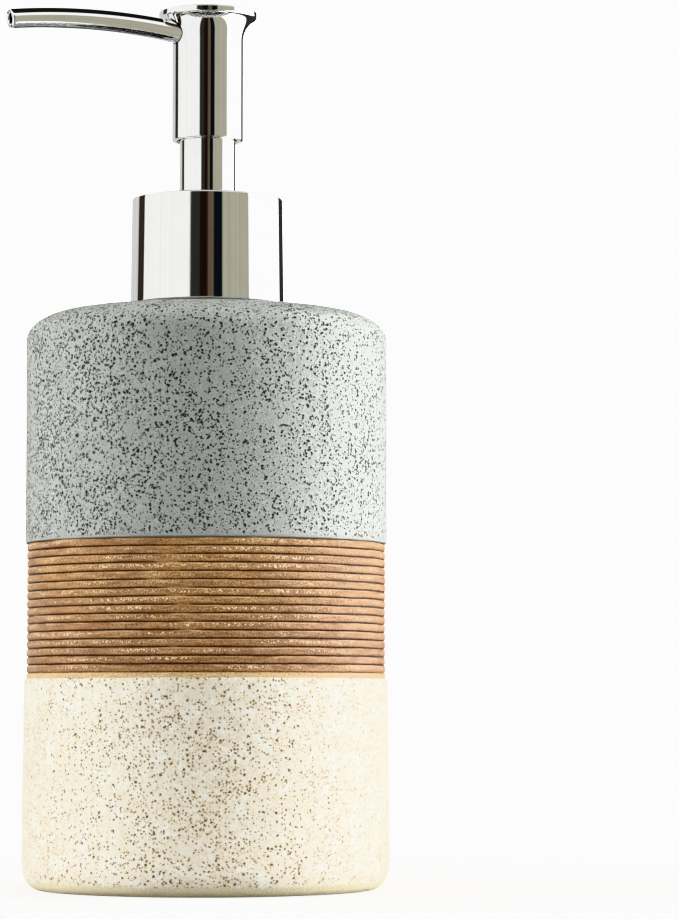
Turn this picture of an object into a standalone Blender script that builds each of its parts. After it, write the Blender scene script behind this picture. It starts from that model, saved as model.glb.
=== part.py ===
"""Soap pump dispenser: a turned stoneware bottle with a lift-out lotion pump.

The origin is on the pump axis, on the flat underside of the bottle. +Z is up and the
spout points along -X. Everything is in metres, and the pump stands at the top of its
stroke. Pieces that touch in the real object keep a small gap here.
"""

import math

import bmesh
import bpy
from mathutils import Matrix, Vector

# Driving dimensions, in metres -------------------------------------------------------

# Bottle, measured at its outside.
BODY_RADIUS = 0.0381
LOW_RADIUS = 0.0386
BODY_TOP = 0.1213
SHOULDER_ACROSS = 0.0110
SHOULDER_DROP = 0.0060
FOOT_ACROSS = 0.0038
FOOT_RISE = 0.0055
RIB_BAND_TOP = 0.0723
RIB_BAND_BOTTOM = 0.0440
RIB_COUNT = 16
RIB_PITCH = 0.0017
RIB_CREST_RADIUS = 0.0377
RIB_DEPTH = 0.0004
WALL = 0.0044
FLOOR = 0.0050
MOUTH_RADIUS = 0.0136

# Thread between the neck and the closure: 6 turns an inch, right-handed.
THREAD_PITCH = 0.0254 / 6
THREAD_TURNS = 1.25
NECK_RADIUS = 0.0126
NECK_THREAD_RADIUS = 0.01365
CLOSURE_BORE_RADIUS = 0.01405
CLOSURE_THREAD_RADIUS = 0.01295
NECK_BORE_RADIUS = 0.0106
NECK_TOP = 0.1352
NECK_THREAD_START = 0.1266

# Chrome collar and the fixed sleeve in it.
COLLAR_FOOT_RADIUS = 0.01625
COLLAR_TOP_RADIUS = 0.01595
COLLAR_BOTTOM = 0.1230
COLLAR_TOP = 0.1456
SHEET = 0.0006
SLEEVE_RADIUS = 0.00595
SLEEVE_BORE = 0.00505
SLEEVE_TOP = 0.1635

# Pump barrel.
BARREL_RADIUS = 0.0077
BARREL_BORE = 0.0066
BARREL_LEDGE = 0.0965
HUB_RADIUS = 0.0086
HUB_TOP = 0.1407
HUB_BORE = 0.0074
FLANGE_RADIUS = 0.0124
FLANGE_BOTTOM = 0.1370
FLANGE_TOP = 0.1384
VALVE_BORE = 0.0032
VALVE_SEAT_TOP = 0.0870
PORT_RADIUS = 0.0016
SOCKET_BOTTOM = 0.0730
SOCKET_TOP = 0.0830
SOCKET_RADIUS = 0.0046

# Moving pieces of the pump.
STEM_RADIUS = 0.0036
STEM_BORE = 0.0021
STEM_BOTTOM = 0.1195
STEM_TOP = 0.1760
STEM_STOP_RADIUS = 0.0046
GUIDE_BORE = 0.00375
PISTON_LIP_RADIUS = 0.00645
SPRING_RADIUS = 0.0046
SPRING_WIRE = 0.0009
SPRING_BOTTOM = 0.0968
SPRING_TOP = 0.1173
BALL_RADIUS = 0.0024
BALL_HEIGHT = 0.0875
TUBE_RADIUS = 0.00305
TUBE_BORE = 0.0022
TUBE_BOTTOM = 0.0080

# Pump head and spout.
HEAD_RADIUS = 0.00755
HEAD_BORE = 0.0063
HEAD_BOTTOM = 0.1581
HEAD_RIM_RADIUS = 0.01045
HEAD_TOP = 0.1858
FLARE_BOTTOM = 0.1813
FLARE_TOP = 0.1842
SPOUT_ARCH_RADIUS = 0.148
SPOUT_APEX = Vector((-0.0247, 0.0, 0.1820))
SPOUT_TIP_X = -0.0457
SPOUT_ROOT_X = -0.0043
SPOUT_SHOULDER_X = -0.0063
SPOUT_RADIUS = 0.0024
SPOUT_TIP_RADIUS = 0.0021
SPOUT_SPIGOT_RADIUS = 0.00185
SPOUT_BORE = 0.0014
SPOUT_TIP_BORE = 0.00105

# Sides of the round pieces, and the fit between pieces that touch.
BOTTLE_SIDES = 40
COLLAR_SIDES = 32
SMALL_SIDES = 24
FIT = 0.0003
EDGE = 0.0003
CRISP_ANGLE = math.radians(32)
MERGE_DISTANCE = 0.00001
WELD_DISTANCE = 0.000001


# Scene, materials and the shapes that repeat -----------------------------------------


def clear_scene():
    for obj in list(bpy.data.objects):
        bpy.data.objects.remove(obj, do_unlink=True)


def make_collection(name):
    collection = bpy.data.collections.new(name)
    bpy.context.scene.collection.children.link(collection)
    return collection


def make_material(name, colour, roughness, metallic=0.0, transmission=0.0):
    material = bpy.data.materials.new(name)
    material.use_nodes = True
    shader = material.node_tree.nodes["Principled BSDF"]
    shader.inputs["Base Color"].default_value = (*colour, 1.0)
    shader.inputs["Roughness"].default_value = roughness
    shader.inputs["Metallic"].default_value = metallic
    shader.inputs["Transmission Weight"].default_value = transmission
    return material


def add_object(name, data, collection, material=None):
    obj = bpy.data.objects.new(name, data)
    collection.objects.link(obj)
    if material:
        data.materials.append(material)
    return obj


def bend(centre_r, centre_z, across, up, start, end, count):
    """Points (r, z) on part of an ellipse in the profile plane, from start to end, in degrees."""
    angles = [math.radians(start + (end - start) * i / count) for i in range(count + 1)]
    return [(centre_r + across * math.cos(a), centre_z + up * math.sin(a)) for a in angles]


def arc(centre_r, centre_z, radius, start, end, count):
    return bend(centre_r, centre_z, radius, radius, start, end, count)


def turned(name, profile, sides, collection, material=None):
    """Revolve a profile of (r, z) points about Z.

    The profile goes up the bore and down the outside. Where its first and last points are
    on the axis it stays open, and otherwise it closes on itself.
    """
    on_axis = profile[0][0] == 0.0
    count = len(profile)
    edges = [(i, (i + 1) % count) for i in range(count - 1 if on_axis else count)]
    mesh = bpy.data.meshes.new(name)
    mesh.from_pydata([(r, 0.0, z) for r, z in profile], edges, [])
    obj = add_object(name, mesh, collection, material)
    screw = obj.modifiers.new("Turn", "SCREW")
    screw.axis = "Z"
    screw.steps = sides
    screw.render_steps = sides
    screw.use_merge_vertices = True
    screw.merge_threshold = MERGE_DISTANCE
    screw.use_smooth_shade = True
    return obj


def settle(obj):
    """Make the modifiers' result the object's own mesh, smooth between its crisp edges."""
    graph = bpy.context.evaluated_depsgraph_get()
    mesh = bpy.data.meshes.new_from_object(obj.evaluated_get(graph))
    mesh.name = obj.name
    obj.modifiers.clear()
    obj.data = mesh
    mesh.shade_smooth()
    mesh.set_sharp_from_angle(angle=CRISP_ANGLE)
    return obj


def combine(obj, other, operation):
    step = obj.modifiers.new(operation.title(), "BOOLEAN")
    step.operation = operation
    step.solver = "EXACT"
    step.object = other
    return obj


def helper(obj):
    """Keep a cutter or a joined shape out of the render, and draw it as wire."""
    obj.hide_render = True
    obj.display_type = "WIRE"
    return obj


def cross_bar(name, radius, start, end, collection):
    """A round bar between two points, to cut a hole with."""
    axis = end - start
    mesh = bpy.data.meshes.new(name)
    shape = bmesh.new()
    bmesh.ops.create_cone(
        shape,
        cap_ends=True,
        segments=SMALL_SIDES,
        radius1=radius,
        radius2=radius,
        depth=axis.length,
    )
    shape.to_mesh(mesh)
    shape.free()
    bar = helper(add_object(name, mesh, collection))
    turn = axis.to_track_quat("Z", "Y").to_matrix().to_4x4()
    bar.matrix_world = Matrix.Translation((start + end) / 2) @ turn
    return bar


def thread_ridge(name, root_radius, crest_radius, start_z, start_angle, collection):
    """One right-hand thread ridge, faded out at both ends, as a closed body."""
    steps_per_turn = 24
    steps = round(steps_per_turn * THREAD_TURNS)
    fade_steps = 3
    least_crest = 0.45
    root_width = 0.0022
    crest_width = 0.0010
    shape = bmesh.new()
    sections = []
    for i in range(steps + 1):
        angle = start_angle + 2 * math.pi * i / steps_per_turn
        height = start_z + THREAD_PITCH * i / steps_per_turn
        fade = min(1.0, i / fade_steps, (steps - i) / fade_steps)
        crest = root_radius + (crest_radius - root_radius) * max(least_crest, fade)
        section = [
            (root_radius, height - root_width / 2),
            (crest, height - crest_width / 2),
            (crest, height + crest_width / 2),
            (root_radius, height + root_width / 2),
        ]
        ring = [shape.verts.new((r * math.cos(angle), r * math.sin(angle), z)) for r, z in section]
        sections.append(ring)
    for lower, upper in zip(sections, sections[1:]):
        for i in range(4):
            j = (i + 1) % 4
            shape.faces.new((lower[i], lower[j], upper[j], upper[i]))
    shape.faces.new(sections[0])
    shape.faces.new(sections[-1][::-1])
    bmesh.ops.recalc_face_normals(shape, faces=shape.faces[:])
    mesh = bpy.data.meshes.new(name)
    shape.to_mesh(mesh)
    shape.free()
    return helper(add_object(name, mesh, collection))


def tube_along(name, points, radii, collection):
    """A round bar of varying radius along a line of points, as a welded mesh."""
    curve = bpy.data.curves.new(name, "CURVE")
    curve.dimensions = "3D"
    curve.bevel_depth = 1.0
    curve.bevel_resolution = 3
    curve.use_fill_caps = True
    spline = curve.splines.new("POLY")
    spline.points.add(len(points) - 1)
    for point, place, radius in zip(spline.points, points, radii):
        point.co = (*place, 1.0)
        point.radius = radius
    guide = add_object(name + "_guide", curve, collection)
    graph = bpy.context.evaluated_depsgraph_get()
    mesh = bpy.data.meshes.new_from_object(guide.evaluated_get(graph))
    mesh.name = name
    bpy.data.objects.remove(guide, do_unlink=True)
    shape = bmesh.new()
    shape.from_mesh(mesh)
    bmesh.ops.remove_doubles(shape, verts=shape.verts[:], dist=WELD_DISTANCE)
    bmesh.ops.recalc_face_normals(shape, faces=shape.faces[:])
    shape.to_mesh(mesh)
    shape.free()
    return add_object(name, mesh, collection)


# Bottle ------------------------------------------------------------------------------


def rib_band():
    """Profile of the ribs, from the top of the band to its plain bottom line."""
    points = [(RIB_CREST_RADIUS - RIB_DEPTH, RIB_BAND_TOP)]
    for i in range(RIB_COUNT):
        top = RIB_BAND_TOP - i * RIB_PITCH
        points.append((RIB_CREST_RADIUS, top - RIB_PITCH / 2))
        points.append((RIB_CREST_RADIUS - RIB_DEPTH, top - RIB_PITCH))
    points.append((RIB_CREST_RADIUS - RIB_DEPTH, RIB_BAND_BOTTOM))
    return points


def make_bottle_body(parts, material):
    cavity = BODY_RADIUS - WALL
    cavity_fillet = 0.0040
    ceiling = BODY_TOP - FLOOR
    shoulder_r = BODY_RADIUS - SHOULDER_ACROSS
    inner_across = cavity - shoulder_r
    inner_drop = 0.0045
    waist_radius = 0.0382
    flare_height = 0.0100
    profile = [(0.0, FLOOR)]
    profile += arc(cavity - cavity_fillet, FLOOR + cavity_fillet, cavity_fillet, -90, 0, 3)
    profile += bend(shoulder_r, ceiling - inner_drop, inner_across, inner_drop, 0, 90, 3)
    profile += [(MOUTH_RADIUS, ceiling), (MOUTH_RADIUS, BODY_TOP)]
    shoulder_z = BODY_TOP - SHOULDER_DROP
    profile += bend(shoulder_r, shoulder_z, SHOULDER_ACROSS, SHOULDER_DROP, 90, 0, 8)
    profile += [(BODY_RADIUS, RIB_BAND_TOP)]
    profile += rib_band()
    profile += [(waist_radius, RIB_BAND_BOTTOM), (LOW_RADIUS, flare_height)]
    profile += bend(LOW_RADIUS - FOOT_ACROSS, FOOT_RISE, FOOT_ACROSS, FOOT_RISE, 0, -90, 4)
    profile += [(0.0, 0.0)]
    return settle(turned("bottle_body", profile, BOTTLE_SIDES, parts, material))


def make_neck_insert(parts, cutters, material):
    flange_radius = 0.0149
    flange_top = 0.1224
    sleeve_bottom = 0.1110
    root_radius = 0.0120
    profile = [
        (NECK_BORE_RADIUS, sleeve_bottom),
        (NECK_BORE_RADIUS, NECK_TOP),
        (NECK_RADIUS - EDGE, NECK_TOP),
        (NECK_RADIUS, NECK_TOP - EDGE),
        (NECK_RADIUS, flange_top),
        (flange_radius, flange_top),
        (flange_radius, BODY_TOP + FIT),
        (MOUTH_RADIUS - FIT, BODY_TOP + FIT),
        (MOUTH_RADIUS - FIT, sleeve_bottom),
    ]
    insert = turned("neck_insert", profile, COLLAR_SIDES, parts, material)
    ridge = thread_ridge(
        "neck_thread", root_radius, NECK_THREAD_RADIUS, NECK_THREAD_START, 0.0, cutters
    )
    return settle(combine(insert, ridge, "UNION"))


# Collar and what is fixed in it ------------------------------------------------------


def make_screw_closure(parts, cutters, material):
    skirt_radius = 0.0150
    skirt_bottom = 0.1241
    plate_bottom = FLANGE_TOP + 0.0004
    plate_top = 0.1404
    hole_radius = 0.0090
    ledge_radius = 0.0112
    ledge_top = 0.1431
    ring_radius = 0.0130
    ring_top = COLLAR_TOP - SHEET - FIT
    root_radius = 0.0144
    profile = [
        (CLOSURE_BORE_RADIUS, skirt_bottom),
        (CLOSURE_BORE_RADIUS, plate_bottom),
        (hole_radius, plate_bottom),
        (hole_radius, plate_top),
        (ledge_radius, plate_top),
        (ledge_radius, ledge_top),
        (ring_radius, ledge_top),
        (ring_radius, ring_top),
        (skirt_radius, ring_top),
        (skirt_radius, skirt_bottom),
    ]
    closure = turned("screw_closure", profile, COLLAR_SIDES, parts, material)
    ridge = thread_ridge(
        "closure_thread",
        root_radius,
        CLOSURE_THREAD_RADIUS,
        NECK_THREAD_START + THREAD_PITCH / 2,
        0.0,
        cutters,
    )
    return settle(combine(closure, ridge, "UNION"))


def make_collar_shell(parts, material):
    hole_radius = 0.00625
    profile = [
        (COLLAR_FOOT_RADIUS - SHEET, COLLAR_BOTTOM),
        (COLLAR_TOP_RADIUS - SHEET, COLLAR_TOP - SHEET),
        (hole_radius, COLLAR_TOP - SHEET),
        (hole_radius, COLLAR_TOP),
    ]
    profile += arc(COLLAR_TOP_RADIUS - EDGE, COLLAR_TOP - EDGE, EDGE, 90, 0, 2)
    profile += [(COLLAR_FOOT_RADIUS, COLLAR_BOTTOM)]
    return settle(turned("collar_shell", profile, BOTTLE_SIDES, parts, material))


def make_neck_sleeve(parts, material):
    foot_radius = 0.0127
    foot_bottom = 0.1434
    foot_top = 0.1446
    profile = [
        (SLEEVE_BORE, foot_bottom),
        (SLEEVE_BORE, SLEEVE_TOP),
        (SLEEVE_RADIUS - EDGE, SLEEVE_TOP),
        (SLEEVE_RADIUS, SLEEVE_TOP - EDGE),
        (SLEEVE_RADIUS, foot_top),
        (foot_radius, foot_top),
        (foot_radius, foot_bottom),
    ]
    return settle(turned("neck_sleeve", profile, SMALL_SIDES, parts, material))


# Pump barrel and what is fixed in it -------------------------------------------------


def make_pump_housing(parts, material):
    barrel_bottom = 0.0945
    hub_bottom = 0.1298
    hub_bore_bottom = 0.1310
    valve_wall = 0.0011
    seat_bottom = VALVE_SEAT_TOP - (VALVE_BORE - PORT_RADIUS)
    socket_bore = TUBE_RADIUS + FIT
    profile = [
        (socket_bore, SOCKET_BOTTOM),
        (socket_bore, SOCKET_TOP),
        (PORT_RADIUS, SOCKET_TOP),
        (PORT_RADIUS, seat_bottom),
        (VALVE_BORE, VALVE_SEAT_TOP),
        (VALVE_BORE, BARREL_LEDGE),
        (BARREL_BORE, BARREL_LEDGE),
        (BARREL_BORE, hub_bore_bottom),
        (HUB_BORE, hub_bore_bottom),
        (HUB_BORE, HUB_TOP),
        (HUB_RADIUS, HUB_TOP),
        (HUB_RADIUS, FLANGE_TOP),
        (FLANGE_RADIUS, FLANGE_TOP),
        (FLANGE_RADIUS, FLANGE_BOTTOM),
        (HUB_RADIUS, FLANGE_BOTTOM),
        (HUB_RADIUS, hub_bottom),
        (BARREL_RADIUS, hub_bottom - (HUB_RADIUS - BARREL_RADIUS)),
        (BARREL_RADIUS, barrel_bottom),
        (SOCKET_RADIUS, barrel_bottom - valve_wall),
        (SOCKET_RADIUS, SOCKET_BOTTOM),
    ]
    return settle(turned("pump_housing", profile, SMALL_SIDES, parts, material))


def make_neck_gasket(parts, material):
    bottom = NECK_TOP + FIT
    top = FLANGE_BOTTOM - FIT
    bore = HUB_RADIUS + FIT
    profile = [(bore, bottom), (bore, top), (FLANGE_RADIUS, top), (FLANGE_RADIUS, bottom)]
    return settle(turned("neck_gasket", profile, COLLAR_SIDES, parts, material))


def make_chaplet(parts, material):
    plug_radius = HUB_BORE - FIT
    plug_bottom = 0.1315
    flange_radius = 0.0106
    flange_bottom = HUB_TOP + FIT
    flange_top = 0.1422
    neck_radius = 0.0048
    neck_top = 0.1510
    profile = [
        (GUIDE_BORE, plug_bottom),
        (GUIDE_BORE, neck_top),
        (neck_radius, neck_top),
        (neck_radius, flange_top),
        (flange_radius, flange_top),
        (flange_radius, flange_bottom),
        (plug_radius, flange_bottom),
        (plug_radius, plug_bottom),
    ]
    return settle(turned("chaplet", profile, SMALL_SIDES, parts, material))


def make_return_spring(parts, material):
    """Coil spring with one closed coil at each end."""
    coils = 7
    points_per_coil = 10
    closed_pitch = 1.16 * SPRING_WIRE
    low = SPRING_BOTTOM + SPRING_WIRE / 2
    high = SPRING_TOP - SPRING_WIRE / 2
    open_pitch = (high - low - 2 * closed_pitch) / (coils - 2)
    curve = bpy.data.curves.new("return_spring", "CURVE")
    curve.dimensions = "3D"
    curve.bevel_depth = SPRING_WIRE / 2
    curve.bevel_resolution = 2
    curve.use_fill_caps = True
    spline = curve.splines.new("POLY")
    spline.points.add(coils * points_per_coil)
    for i, point in enumerate(spline.points):
        turn = i / points_per_coil
        first_coil = min(turn, 1.0)
        last_coil = max(turn - (coils - 1), 0.0)
        open_coils = turn - first_coil - last_coil
        z = low + (first_coil + last_coil) * closed_pitch + open_coils * open_pitch
        angle = 2 * math.pi * turn
        x = SPRING_RADIUS * math.cos(angle)
        y = SPRING_RADIUS * math.sin(angle)
        point.co = (x, y, z, 1.0)
    return add_object("return_spring", curve, parts, material)


def make_check_ball(parts, material):
    mesh = bpy.data.meshes.new("check_ball")
    shape = bmesh.new()
    bmesh.ops.create_uvsphere(shape, u_segments=16, v_segments=10, radius=BALL_RADIUS)
    shape.to_mesh(mesh)
    shape.free()
    mesh.shade_smooth()
    ball = add_object("check_ball", mesh, parts, material)
    ball.location = (0.0, 0.0, BALL_HEIGHT)
    return ball


def make_dip_tube(parts, cutters, material):
    """Suction tube, cut off aslant at its foot so that it can't seal on the floor."""
    top = SOCKET_TOP - FIT
    slant = math.radians(35)
    block_side = 0.02
    profile = [
        (TUBE_BORE, TUBE_BOTTOM),
        (TUBE_BORE, top),
        (TUBE_RADIUS, top),
        (TUBE_RADIUS, TUBE_BOTTOM),
    ]
    tube = turned("dip_tube", profile, SMALL_SIDES, parts, material)
    block = bmesh.new()
    bmesh.ops.create_cube(block, size=block_side)
    mesh = bpy.data.meshes.new("tube_foot_cut")
    block.to_mesh(mesh)
    block.free()
    cut = helper(add_object("tube_foot_cut", mesh, cutters))
    down = Matrix.Translation((0.0, 0.0, -block_side / 2))
    edge = Matrix.Translation((-TUBE_RADIUS, 0.0, TUBE_BOTTOM))
    cut.matrix_world = edge @ Matrix.Rotation(-slant, 4, "Y") @ down
    return settle(combine(tube, cut, "DIFFERENCE"))


# Plunger -----------------------------------------------------------------------------


def make_stem(parts, cutters, material):
    stop_bottom = 0.1275
    stop_top = 0.1311
    inlet_height = 0.1244
    inlet_radius = 0.0008
    profile = [
        (STEM_BORE, STEM_BOTTOM),
        (STEM_BORE, STEM_TOP),
        (STEM_RADIUS - EDGE, STEM_TOP),
        (STEM_RADIUS, STEM_TOP - EDGE),
        (STEM_RADIUS, stop_top),
        (STEM_STOP_RADIUS, stop_top),
        (STEM_STOP_RADIUS, stop_bottom),
        (STEM_RADIUS, stop_bottom),
        (STEM_RADIUS, STEM_BOTTOM),
    ]
    stem = turned("stem", profile, SMALL_SIDES, parts, material)
    reach = 2 * STEM_RADIUS
    start = Vector((0.0, -reach, inlet_height))
    end = Vector((0.0, reach, inlet_height))
    inlet = cross_bar("stem_inlet_cut", inlet_radius, start, end, cutters)
    return settle(combine(stem, inlet, "DIFFERENCE"))


def make_piston_seat(parts, material):
    flange_radius = 0.0052
    flange_bottom = SPRING_TOP + FIT
    flange_top = 0.1190
    plug_radius = STEM_BORE - FIT
    plug_top = 0.1230
    profile = [
        (0.0, plug_top),
        (plug_radius - EDGE, plug_top),
        (plug_radius, plug_top - 2 * EDGE),
        (plug_radius, flange_top),
        (flange_radius, flange_top),
        (flange_radius, flange_bottom),
        (0.0, flange_bottom),
    ]
    return settle(turned("piston_seat", profile, SMALL_SIDES, parts, material))


def make_piston(parts, material):
    """Wiper piston: a sleeve round the stem with a web and two thin lips on the bore."""
    bottom = 0.1194
    top = 0.1260
    sleeve_radius = 0.0048
    lip_root = 0.0058
    web_bottom = 0.1218
    web_top = 0.1234
    bore = STEM_RADIUS + FIT / 2
    profile = [
        (bore, bottom),
        (bore, top),
        (sleeve_radius, top),
        (sleeve_radius, web_top),
        (lip_root, web_top),
        (lip_root + EDGE, top - EDGE),
        (PISTON_LIP_RADIUS, top - EDGE),
        (PISTON_LIP_RADIUS - EDGE, web_top),
        (PISTON_LIP_RADIUS - EDGE, web_bottom),
        (PISTON_LIP_RADIUS, bottom + EDGE),
        (lip_root + EDGE, bottom + EDGE),
        (lip_root, web_bottom),
        (sleeve_radius, web_bottom),
        (sleeve_radius, bottom),
    ]
    return settle(turned("piston", profile, SMALL_SIDES, parts, material))


# Pump head ---------------------------------------------------------------------------


def spout_height(x):
    """Height of the spout's centreline, an arc of one radius."""
    across = x - SPOUT_APEX.x
    drop = SPOUT_ARCH_RADIUS - math.sqrt(SPOUT_ARCH_RADIUS**2 - across**2)
    return SPOUT_APEX.z - drop


def spout_point(x):
    return Vector((x, 0.0, spout_height(x)))


def spout_bar(name, radius, start_x, end_x, collection):
    """A round bar along the spout's direction where it enters the head."""
    root = spout_point(SPOUT_SHOULDER_X)
    direction = (spout_point(SPOUT_SHOULDER_X - EDGE) - spout_point(SPOUT_SHOULDER_X)).normalized()
    start = root + direction * ((start_x - root.x) / direction.x)
    end = root + direction * ((end_x - root.x) / direction.x)
    return cross_bar(name, radius, start, end, collection)


def make_head_shell(parts, cutters, material):
    web_bottom = 0.1835
    recess_floor = FLARE_TOP
    recess_radius = 0.0094
    rim_edge = 0.0004
    hole_radius = SPOUT_RADIUS + FIT
    hole_inner_x = -0.0045
    hole_outer_x = -0.0130
    profile = [
        (0.0, recess_floor),
        (recess_radius, recess_floor),
        (recess_radius, HEAD_TOP),
    ]
    profile += arc(HEAD_RIM_RADIUS - rim_edge, HEAD_TOP - rim_edge, rim_edge, 90, 0, 2)
    profile += [
        (HEAD_RIM_RADIUS, FLARE_TOP),
        (HEAD_RADIUS + EDGE, FLARE_BOTTOM),
        (HEAD_RADIUS, FLARE_BOTTOM - EDGE),
        (HEAD_RADIUS, HEAD_BOTTOM + EDGE),
        (HEAD_RADIUS - EDGE, HEAD_BOTTOM),
        (HEAD_BORE, HEAD_BOTTOM),
        (HEAD_BORE, web_bottom),
        (0.0, web_bottom),
    ]
    shell = turned("head_shell", profile, COLLAR_SIDES, parts, material)
    hole = spout_bar("shell_port_cut", hole_radius, hole_inner_x, hole_outer_x, cutters)
    return settle(combine(shell, hole, "DIFFERENCE"))


def make_head_core(parts, cutters, material):
    disc_radius = HEAD_BORE - FIT
    disc_bottom = 0.1768
    disc_top = 0.1832
    socket_radius = 0.0044
    socket_bottom = 0.1650
    socket_top = STEM_TOP + 0.0007
    passage_radius = 0.0018
    passage_top = spout_height(SPOUT_ROOT_X)
    outlet_inner_x = 0.0006
    outlet_outer_x = -0.0050
    socket_outer_x = -0.0075
    profile = [
        (0.0, disc_top),
        (disc_radius, disc_top),
        (disc_radius, disc_bottom),
        (socket_radius, disc_bottom),
        (socket_radius, socket_bottom),
        (GUIDE_BORE, socket_bottom),
        (GUIDE_BORE, socket_top),
        (passage_radius, socket_top),
        (passage_radius, passage_top),
        (0.0, passage_top),
    ]
    core = turned("head_core", profile, SMALL_SIDES, parts, material)
    outlet = spout_bar("core_outlet_cut", SPOUT_BORE, outlet_inner_x, outlet_outer_x, cutters)
    spigot = SPOUT_SPIGOT_RADIUS + FIT
    socket = spout_bar("core_spigot_cut", spigot, SPOUT_ROOT_X + FIT, socket_outer_x, cutters)
    combine(core, outlet, "DIFFERENCE")
    return settle(combine(core, socket, "DIFFERENCE"))


def make_head_cap(parts, material):
    radius = 0.0091
    bottom = FLARE_TOP + FIT
    sunk = 0.0001
    top = HEAD_TOP - sunk
    dish = 0.0002
    profile = [
        (0.0, top - dish),
        (radius - 2 * EDGE, top),
        (radius, top - EDGE),
        (radius, bottom),
        (0.0, bottom),
    ]
    return settle(turned("head_cap", profile, COLLAR_SIDES, parts, material))


def make_spout_tube(parts, cutters, material):
    """Arched tube that thins a little to its tip, with a spigot at its root."""
    stations = 12
    lip = 0.0004
    round_in = 0.3
    step = 0.00005
    length = SPOUT_SHOULDER_X - SPOUT_TIP_X
    places = [SPOUT_SHOULDER_X - length * i / stations for i in range(stations + 1)]
    places[-1] = SPOUT_TIP_X + lip
    taper = [(SPOUT_SHOULDER_X - x) / length for x in places]
    radii = [SPOUT_RADIUS + (SPOUT_TIP_RADIUS - SPOUT_RADIUS) * t for t in taper]
    spigot = [SPOUT_ROOT_X, SPOUT_SHOULDER_X + step]
    spigot_radii = [SPOUT_SPIGOT_RADIUS, SPOUT_SPIGOT_RADIUS]
    tip = [SPOUT_TIP_X + lip * round_in, SPOUT_TIP_X]
    tip_radii = [SPOUT_TIP_RADIUS - lip * round_in, SPOUT_TIP_RADIUS - lip]
    line = [spout_point(x) for x in spigot + places + tip]
    tube = tube_along("spout_tube", line, spigot_radii + radii + tip_radii, parts)
    tube.data.materials.append(material)
    bore_places = [SPOUT_ROOT_X + lip, *places[1:-1], SPOUT_TIP_X - lip]
    bore_taper = [(SPOUT_SHOULDER_X - x) / length for x in bore_places]
    bore_radii = [SPOUT_BORE + (SPOUT_TIP_BORE - SPOUT_BORE) * max(0.0, t) for t in bore_taper]
    bore_line = [spout_point(x) for x in bore_places]
    bore = helper(tube_along("spout_bore_cut", bore_line, bore_radii, cutters))
    return settle(combine(tube, bore, "DIFFERENCE"))


# Assembly ----------------------------------------------------------------------------


def main():
    clear_scene()
    parts = make_collection("soap_pump_dispenser")
    cutters = make_collection("soap_pump_dispenser_cutters")

    stoneware = make_material("stoneware", (0.62, 0.58, 0.49), 0.45)
    chrome = make_material("chrome", (0.86, 0.87, 0.88), 0.06, metallic=1.0)
    white_plastic = make_material("white_plastic", (0.86, 0.86, 0.84), 0.40)
    clear_plastic = make_material("clear_plastic", (0.80, 0.84, 0.84), 0.30)
    soft_seal = make_material("soft_seal", (0.70, 0.70, 0.68), 0.60)
    steel = make_material("steel", (0.55, 0.55, 0.56), 0.25, metallic=1.0)

    make_bottle_body(parts, stoneware)
    make_neck_insert(parts, cutters, white_plastic)

    make_pump_housing(parts, clear_plastic)
    make_neck_gasket(parts, soft_seal)
    make_chaplet(parts, white_plastic)
    make_return_spring(parts, steel)
    make_check_ball(parts, steel)
    make_dip_tube(parts, cutters, clear_plastic)

    make_screw_closure(parts, cutters, white_plastic)
    make_collar_shell(parts, chrome)
    make_neck_sleeve(parts, chrome)

    make_stem(parts, cutters, white_plastic)
    make_piston_seat(parts, white_plastic)
    make_piston(parts, soft_seal)

    make_head_shell(parts, cutters, chrome)
    make_head_core(parts, cutters, white_plastic)
    make_head_cap(parts, chrome)
    make_spout_tube(parts, cutters, chrome)


main()
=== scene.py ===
import math

import bmesh
import bpy
import numpy as np
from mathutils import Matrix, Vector, noise


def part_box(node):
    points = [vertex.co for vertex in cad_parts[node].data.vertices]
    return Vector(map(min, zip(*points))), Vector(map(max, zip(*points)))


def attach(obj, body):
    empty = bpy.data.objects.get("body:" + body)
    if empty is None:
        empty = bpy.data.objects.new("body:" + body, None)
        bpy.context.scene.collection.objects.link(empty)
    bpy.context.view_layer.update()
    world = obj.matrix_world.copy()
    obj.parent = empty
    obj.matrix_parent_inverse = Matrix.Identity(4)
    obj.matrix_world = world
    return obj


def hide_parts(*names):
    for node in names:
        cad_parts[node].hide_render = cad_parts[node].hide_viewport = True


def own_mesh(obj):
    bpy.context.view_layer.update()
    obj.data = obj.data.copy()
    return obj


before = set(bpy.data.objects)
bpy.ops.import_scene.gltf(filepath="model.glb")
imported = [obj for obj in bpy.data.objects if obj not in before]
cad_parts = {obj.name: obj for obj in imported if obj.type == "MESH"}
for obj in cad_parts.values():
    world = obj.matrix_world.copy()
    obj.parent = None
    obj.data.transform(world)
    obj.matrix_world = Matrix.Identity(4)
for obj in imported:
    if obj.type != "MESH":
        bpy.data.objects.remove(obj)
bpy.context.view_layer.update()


# Clay body ---------------------------------------------------------------------------
# The bottle is one slip-cast stoneware vessel, fired once before it is glazed. This is the
# bare clay: the foot that it stands on, the inside, and the wall under the three glazes.

MM = 0.001
top_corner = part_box("bottle_body")[1]
bottle_top = top_corner.z / MM
coat_thickness = 0.6
shoulder_radius = 38.1
shoulder_across = 11.0
shoulder_drop = 6.0
foot_radius = top_corner.x / MM
foot_across = 3.8
foot_rise = 5.5
mouth_radius = 13.6
rib_top = 72.3
rib_bottom = 44.0


def bend(centre_r, centre_z, across, up, start, end, steps):
    """Points (r, z) of a rounded corner in the turning plane, from start to end in degrees."""
    turn = np.radians(np.linspace(start, end, steps + 1))
    return list(zip(centre_r + across * np.cos(turn), centre_z + up * np.sin(turn)))


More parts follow.
